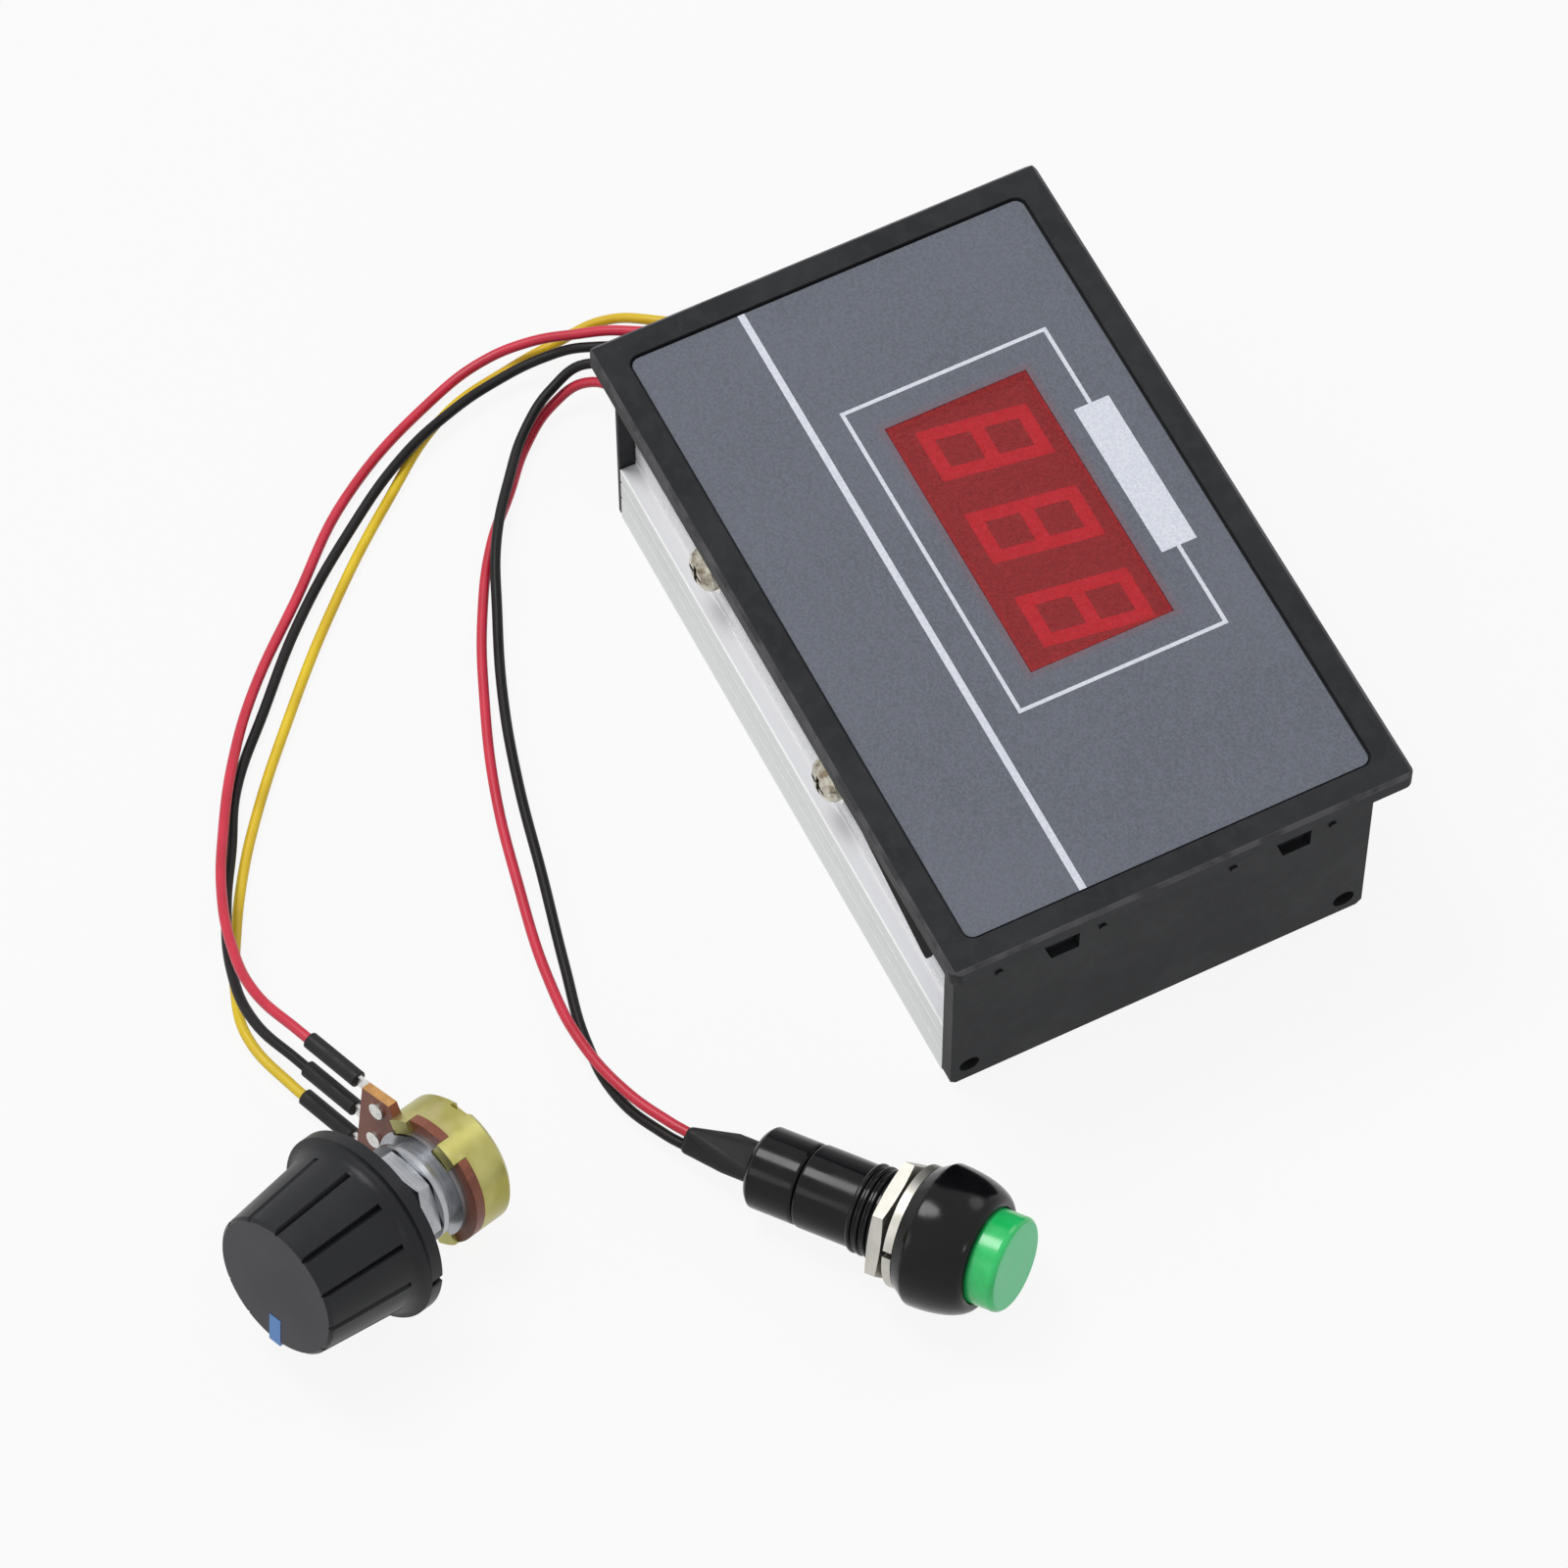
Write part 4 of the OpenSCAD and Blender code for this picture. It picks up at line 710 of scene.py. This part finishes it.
# Near-black matte for the wedge that stands in for the shade under the flange
shadow_wedge_black = moulded(
    "shadow_wedge_black", paint(20, 19, 21), paint(27, 26, 28), grain=2600.0, roughness=0.6, gloss=0.04
)
chip_black = moulded(
    "chip_black", paint(30, 30, 32), paint(40, 40, 42), grain=3000.0, roughness=0.55, gloss=0.25
)
nylon = moulded("nylon", paint(214, 208, 190), paint(228, 222, 206), grain=1800.0, roughness=0.45)
terminal_green = moulded(
    "terminal_green", paint(30, 120, 66), paint(40, 136, 78), grain=2000.0, roughness=0.45
)
pointer_blue = moulded(
    "pointer_blue", paint(72, 128, 196), paint(94, 150, 214), grain=2400.0, roughness=0.4
)
pad_grey = moulded(
    "pad_grey", paint(160, 160, 168), paint(176, 176, 184), grain=2400.0, roughness=0.6
)
cap_sleeve = moulded(
    "cap_sleeve", paint(36, 40, 58), paint(44, 48, 68), grain=1600.0, roughness=0.35
)
knob_black = knob_plastic()
zinc = plated("zinc", paint(150, 151, 154), paint(190, 191, 194), roughness=0.36)
nickel = plated("nickel", paint(196, 194, 188), paint(222, 220, 214), roughness=0.24)
tin = plated("tin", paint(190, 190, 188), paint(226, 226, 222), roughness=0.3, stains=1800.0)
brass = plated("brass", paint(186, 150, 84), paint(214, 180, 112), roughness=0.32)
screw_nickel = plated(
    "screw_nickel",
    paint(150, 144, 130),
    paint(206, 202, 188),
    roughness=0.24,
    stains=700.0,
    tarnish=0.6,
)
dial_zinc = turned(
    "dial_zinc", paint(140, 142, 146), paint(186, 188, 192), roughness=0.3, axis=DIAL_AXIS
)
switch_nickel = turned(
    "switch_nickel", paint(172, 170, 162), paint(204, 202, 194), roughness=0.38, axis=SWITCH_AXIS
)
film_grey = film_print()
ink = white_ink()
red_window = window_red()
red_module = module_face()
red_segment = segment_red()
aluminium = drawn_aluminium()
gold_can = passivated()
brown_wafer = phenolic(
    "wafer_face", paint(112, 56, 38), paint(134, 72, 48), speckle=paint(156, 94, 66)
)
tan_wafer = phenolic(
    "wafer_edge", paint(176, 122, 62), paint(206, 152, 86), speckle=paint(222, 176, 112)
)
lead_yellow = insulation("lead_yellow", paint(220, 184, 14), paint(236, 203, 32))
lead_red = insulation("lead_red", paint(196, 30, 56), paint(214, 42, 70))
lead_black = insulation("lead_black", paint(25, 24, 25), paint(36, 34, 35), gloss=0.18)
sleeve_black = shrunk_sleeve()
polished_black = gloss_black()
green_cap = button_green()
green_board = board_green()

NODE_LOOKS = {
    "front_case": case_black,
    "rear_cover": cover_black,
    "front_film": film_grey,
    "display_filter": red_window,
    "led_display": red_module,
    "display_segments": red_segment,
    "display_board": green_board,
    "microcontroller": chip_black,
    "power_board": green_board,
    "board_header": brass,
    "board_screws": zinc,
    "heatsink": aluminium,
    "sink_pins": cover_black,
    "heatsink_screws": screw_nickel,
    "screw_washers": nickel,
    "heatsink_nuts": zinc,
    "power_transistor": chip_black,
    "freewheel_diode": chip_black,
    "insulating_pads": pad_grey,
    "voltage_regulator": chip_black,
    "filter_capacitors": cap_sleeve,
    "terminal_block": terminal_green,
    "terminal_screws": zinc,
    "terminal_clamps": brass,
    "pot_header": nylon,
    "switch_header": nylon,
    "pot_plug": nylon,
    "switch_plug": nylon,
    "pot_sleeves": sleeve_black,
    "switch_sleeve": sleeve_black,
    "pot_can": gold_can,
    "pot_wafer": brown_wafer,
    "pot_lugs": tin,
    "pot_bushing": dial_zinc,
    "pot_washer": dial_zinc,
    "pot_nut": dial_zinc,
    "pot_shaft": nickel,
    "pot_wiper": nylon,
    "knob": knob_black,
    "knob_pointer": pointer_blue,
    "switch_body": polished_black,
    "switch_rear_cap": polished_black,
    "switch_nut": switch_nickel,
    "switch_washer": switch_nickel,
    "switch_contacts": tin,
    "contact_bridge": brass,
    "return_spring": zinc,
    "button": green_cap,
}


def dress_nodes():
    for name, material in NODE_LOOKS.items():
        slots = nodes[name].data.materials
        slots.clear()
        slots.append(material)


dress_nodes()


def stand_in(node):
    """Hide a solid behind the piece that is drawn in its place."""
    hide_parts(node)


# Leads, on the routes of the solids, in millimetres

LEAD_D = 1.3 * MM
LEAD_SIDES = 4
LEAD_STEPS = 8
ROUTE_POT_YELLOW = [
    (-45.3, -5.2, 8), (-50, -5.4, 7.9), (-56, -6.6, 7.3), (-64.5, -14, 5.6),
    (-68, -18.5, 3.6), (-69, -24.5, 1.4), (-68.5, -31, 0.8), (-66, -41, 0.8),
    (-57.5, -53, 0.8), (-46.5, -65.5, 0.8), (-35, -76.5, 0.8), (-24.5, -85.5, 0.8),
    (-17.5, -90.5, 0.8), (-10.5, -94.5, 0.9), (-4, -97.5, 1.2), (2.5, -98.9, 1.9),
    (11.53, -96.74, 2.32), (13.87, -95.9, 2.53),
]
ROUTE_POT_RED = [
    (-45.3, -7.7, 8), (-50, -7.9, 8), (-56, -9.4, 7.9), (-63.5, -18, 7.2),
    (-66.5, -23, 5.7), (-69, -28, 4), (-70, -34, 2.4), (-68.5, -41.5, 1.1),
    (-60.5, -57, 0.8), (-50, -68.5, 0.8), (-40.5, -78.5, 1), (-32, -85, 2.2),
    (-22.5, -90.5, 3.8), (-15, -94, 5.3), (-7, -96.3, 7.2), (1.5, -97, 9.8),
    (9.96, -94.81, 12.01), (12.31, -93.97, 12.22),
]
ROUTE_POT_BLACK = [
    (-45.3, -10.2, 8), (-50, -10.5, 7.9), (-56, -12.4, 7.2), (-64.5, -22.5, 5.2),
    (-66.5, -27, 3.4), (-66.5, -34.5, 2.4), (-65, -41, 2.3), (-62, -48.5, 2.2),
    (-55.5, -59, 1.2), (-47, -69.5, 0.8), (-37.5, -78.5, 0.8), (-29, -86, 0.9),
    (-21.5, -90, 1.6), (-14, -94, 2.6), (-5, -97.3, 4.2), (3, -98, 5.9),
    (10.74, -95.77, 7.16), (13.09, -94.94, 7.37),
]
ROUTE_SWITCH_BLACK = [
    (-45.3, -16.6, 8), (-50, -16.9, 7.9), (-55.5, -18.6, 7.3), (-61.8, -23.8, 6),
    (-61.5, -28.5, 4.2), (-58.5, -33.5, 3), (-53, -38.5, 2.4), (-46, -43.5, 2.1),
    (-37.5, -47.5, 1.2), (-26.5, -52, 0.8), (-15, -55.5, 0.8), (-2, -58.5, 0.8),
    (10.5, -61.5, 0.8), (20, -63.5, 0.8), (29, -63.6, 1.6), (36.5, -61.1, 3),
    (39.3, -59.5, 3.3),
]
ROUTE_SWITCH_RED = [
    (-45.3, -19.1, 8), (-49.5, -19.4, 7.7), (-54.5, -21, 6.6), (-60.3, -24.5, 4.4),
    (-60.5, -29, 2.2), (-57.5, -34, 0.9), (-52, -39, 0.8), (-46.5, -44, 0.8),
    (-37.5, -49.5, 0.8), (-27.5, -54, 0.8), (-15, -58.5, 0.8), (-2.5, -61.5, 0.8),
    (11, -64, 1.5), (21, -64.5, 2.8), (29.5, -63, 3.9), (36, -60.3, 4.6),
    (38.9, -58.7, 4.9),
]


def lead(name, node, route, material):
    """One lead: a smooth curve on the route's points, from its plug to its sleeve."""
    data = bpy.data.curves.new(name, "CURVE")
    data.dimensions = "3D"
    data.bevel_depth = LEAD_D / 2
    data.bevel_resolution = LEAD_SIDES
    data.resolution_u = LEAD_STEPS
    data.use_fill_caps = True
    spline = data.splines.new("BEZIER")
    spline.bezier_points.add(len(route) - 1)
    for point, place in zip(spline.bezier_points, route):
        point.co = Vector(place) * MM
        point.handle_left_type = "AUTO"
        point.handle_right_type = "AUTO"
    data.materials.append(material)
    cord = in_scene(name, data)
    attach(cord, "controller")
    stand_in(node)


lead("pot_lead_yellow", "lead_pot_yellow", ROUTE_POT_YELLOW, lead_yellow)
lead("pot_lead_red", "lead_pot_red", ROUTE_POT_RED, lead_red)
lead("pot_lead_black", "lead_pot_black", ROUTE_POT_BLACK, lead_black)
lead("switch_lead_black", "lead_switch_black", ROUTE_SWITCH_BLACK, lead_black)
lead("switch_lead_red", "lead_switch_red", ROUTE_SWITCH_RED, lead_red)


# Pieces made from the model's own solids, with soft edges

MERGE_REACH = 1e-6
FLAT_ANGLE = math.radians(0.5)
SHARP_ANGLE = math.radians(32)
SLEEVE_ANGLE = math.radians(50)
ROUNDING_STEPS = 2
SEAM = 0.05 * MM
LIP_INSET = 0.4 * MM
WAFER_R = 9.4 * MM
EDGE_TILT = 0.5


def merged_copy(node):
    """A copy of a solid with its loose triangles joined."""
    shape = bmesh.new()
    shape.from_mesh(nodes[node].data)
    shape.transform(nodes[node].matrix_world)
    bmesh.ops.remove_doubles(shape, verts=shape.verts, dist=MERGE_REACH)
    return shape


def mesh_object(name, shape, material):
    """A bmesh made into an object whose place is in its mesh."""
    data = bpy.data.meshes.new(name)
    shape.to_mesh(data)
    shape.free()
    data.materials.append(material)
    return in_scene(name, data)


def finished(name, shape, material, body="controller"):
    """A bmesh made into a piece that rides on a body."""
    piece = mesh_object(name, shape, material)
    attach(piece, body)
    return piece


def softened(node, edge, body="controller", angle=SHARP_ANGLE, reshape=None):
    """A copy of a solid with rounded edges, edge millimetres wide, for its sharp ones."""
    shape = merged_copy(node)
    bmesh.ops.dissolve_limit(shape, angle_limit=FLAT_ANGLE, verts=shape.verts, edges=shape.edges)
    if reshape:
        for vertex in shape.verts:
            reshape(vertex.co)
    piece = finished(node + "_soft", shape, NODE_LOOKS[node], body)
    piece.data.shade_smooth()
    piece.data.set_sharp_from_angle(angle=angle)
    rounding = piece.modifiers.new("rounding", "BEVEL")
    rounding.width = edge * MM
    rounding.segments = ROUNDING_STEPS
    rounding.limit_method = "ANGLE"
    rounding.angle_limit = angle
    rounding.use_clamp_overlap = True
    weighting = piece.modifiers.new("weighting", "WEIGHTED_NORMAL")
    weighting.keep_sharp = True
    stand_in(node)
    return piece


def foot_to_base(place):
    """The heat sink's foot reaches the base, in front of the cover's lip."""
    if place.z < SINK_LOW.z + SEAM:
        place.z = SEAM


def lip_back(place):
    """The rear cover's lip keeps clear of the foot that is drawn in front of it."""
    if place.y < SINK_LOW.y + SEAM:
        place.y += LIP_INSET


def tan_rim(wafer):
    """The cut rim of the wafer shows the paper's paler core."""
    wafer.data.materials.append(tan_wafer)
    axis = Vector(DIAL_AXIS)
    for polygon in wafer.data.polygons:
        across = abs(polygon.normal.dot(axis)) < EDGE_TILT
        reach = (polygon.center - Vector(DIAL_PLACE)).cross(axis).length
        if across and reach > WAFER_R:
            polygon.material_index = 1


def pressed_spring():
    """The button's spring as a smooth-shaded piece with a mesh of its own; the real spring
    shortens as the button goes in.
    """
    shape = merged_copy("return_spring")
    piece = finished("return_spring_coil", shape, NODE_LOOKS["return_spring"])
    piece.data.shade_smooth()
    stand_in("return_spring")
    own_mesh(piece)


softened("front_case", edge=0.2)
softened("rear_cover", edge=0.15, reshape=lip_back)
softened("heatsink", edge=0.2, reshape=foot_to_base)
softened("knob", edge=0.25, body="knob")
softened("switch_body", edge=0.2)
softened("switch_rear_cap", edge=0.2)
softened("button", edge=0.25, body="button")
softened("switch_nut", edge=0.15)
softened("switch_sleeve", edge=0.15, angle=SLEEVE_ANGLE)
softened("pot_sleeves", edge=0.1, angle=SLEEVE_ANGLE)
softened("pot_nut", edge=0.15)
softened("pot_can", edge=0.15)
tan_rim(softened("pot_wafer", edge=0.1))
pressed_spring()


# Dark wedge under the flange, a painted shadow standing in for the shade there, narrow at its tip

FLANGE_Z = 30.5 * MM
WEDGE_TOP = (23.1 * MM, 42.3 * MM)
WEDGE_TIP = (39.9 * MM, 40.7 * MM)
WEDGE_H = 4.2 * MM
WEDGE_T = 0.6 * MM
WEDGE_INSET = 0.1 * MM
WEDGE_ROUND = 0.5 * MM
WEDGE_STEPS = 3


def flange_shadow_wedge():
    """A dark wedge, a painted shadow, that hangs from the flange beside the heat sink where the
    shade under the flange falls.
    """
    shape = bmesh.new()
    front = -CASE_HIGH.y + WEDGE_INSET
    for corner in bmesh.ops.create_cube(shape, size=1.0)["verts"]:
        low = corner.co.z < 0
        sides = WEDGE_TIP if low else WEDGE_TOP
        corner.co.x = sides[corner.co.x > 0]
        corner.co.y = front + WEDGE_T if corner.co.y > 0 else front
        corner.co.z = FLANGE_Z - WEDGE_H if low else FLANGE_Z
    tips = [
        edge
        for edge in shape.edges
        if all(vertex.co.z < FLANGE_Z - WEDGE_T for vertex in edge.verts)
        and abs(edge.verts[0].co.y - edge.verts[1].co.y) > WEDGE_T / 2
    ]
    bmesh.ops.bevel(
        shape,
        geom=tips,
        offset=WEDGE_ROUND,
        segments=WEDGE_STEPS,
        affect="EDGES",
        profile=0.5,
        material=-1,
    )
    bmesh.ops.recalc_face_normals(shape, faces=shape.faces)
    wedge = finished("flange_shadow_wedge", shape, shadow_wedge_black)


flange_shadow_wedge()


# Print on the film, in millimetres

LINE_W = 0.9
LINE_Y = -11.3
FRAME_W = 0.5
FRAME_X = (-25.74, 19.66)
FRAME_Y = (-6.88, 19.97)
LABEL_X = (-14.1, 8.0)
LABEL_Y = (17.8, 22.4)
INK_T = 0.02 * MM
film_low, film_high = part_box("front_film")


def ink_strip(shape, x0, x1, y0, y1):
    """A flat patch of ink on the film."""
    centre = Vector(((x0 + x1) / 2 * MM, (y0 + y1) / 2 * MM, film_high.z + INK_T / 2))
    size = Matrix.Diagonal(((x1 - x0) * MM, (y1 - y0) * MM, INK_T, 1.0))
    bmesh.ops.create_cube(shape, size=1.0, matrix=Matrix.Translation(centre) @ size)


def printed_lines():
    """The divider line, the frame round the window, and the bare label box in its side."""
    shape = bmesh.new()
    ink_strip(shape, film_low.x / MM, film_high.x / MM, LINE_Y - LINE_W / 2, LINE_Y + LINE_W / 2)
    half = FRAME_W / 2
    for x in FRAME_X:
        ink_strip(shape, x - half, x + half, FRAME_Y[0] - half, FRAME_Y[1] + half)
    ink_strip(shape, FRAME_X[0] + half, FRAME_X[1] - half, FRAME_Y[0] - half, FRAME_Y[0] + half)
    ink_strip(shape, FRAME_X[0] + half, LABEL_X[0], FRAME_Y[1] - half, FRAME_Y[1] + half)
    ink_strip(shape, LABEL_X[1], FRAME_X[1] - half, FRAME_Y[1] - half, FRAME_Y[1] + half)
    ink_strip(shape, *LABEL_X, *LABEL_Y)
    lines = finished("printed_lines", shape, ink)


printed_lines()


# Floor and light

FLOOR_SIZE = 6.0
FLOOR_TONE = (0.62, 0.62, 0.63, 1.0)
FLOOR_GLOW = 0.9
FULL_WHITE = 1.0
WORLD_LIGHT = 0.45
SCENE_CENTRE = Vector((0.0, -0.045, 0.01))


def pale_floor():
    """A floor that is seen nearly white and still takes the object's shadow."""
    look = Look("pale_floor")
    shade = look.field("ShaderNodeBsdfDiffuse", None, {"Color": FLOOR_TONE})
    glow = look.field("ShaderNodeEmission", None, {"Color": WHITE, "Strength": FULL_WHITE})
    return look.finish(look.mixed_shaders(look.background_seen() * FLOOR_GLOW, shade, glow))


def floor():
    shape = bmesh.new()
    bmesh.ops.create_grid(shape, x_segments=1, y_segments=1, size=FLOOR_SIZE / 2)
    mesh_object("floor", shape, pale_floor())


def area_light(name, place, size, power):
    """A round soft lamp that shines at the middle of the scene."""
    data = bpy.data.lights.new(name, "AREA")
    data.shape = "DISK"
    data.size = size
    data.energy = power
    turned_to(in_scene(name, data), place, Vector(place) - SCENE_CENTRE)


def world_light():
    """Plain soft light from all round, seen as white."""
    world = bpy.data.worlds.new("studio")
    sky = NodeTree(world)
    soft = sky.field("ShaderNodeBackground", None, {"Color": WHITE, "Strength": WORLD_LIGHT})
    white = sky.field("ShaderNodeBackground", None, {"Color": WHITE, "Strength": FULL_WHITE})
    mixed = sky.mixed_shaders(sky.background_seen(), soft, white)
    sky.node("ShaderNodeOutputWorld", None, {"Surface": mixed})
    bpy.context.scene.world = world


floor()
world_light()
area_light("key", (-0.4, -0.25, 1.0), size=0.45, power=5.2)
area_light("front", (-0.1, -1.0, 0.5), size=0.5, power=1.1)
area_light("edge", (0.9, 0.2, 0.6), size=0.12, power=0.3)
area_light("back", (-0.2, 0.7, 0.6), size=0.4, power=0.8)
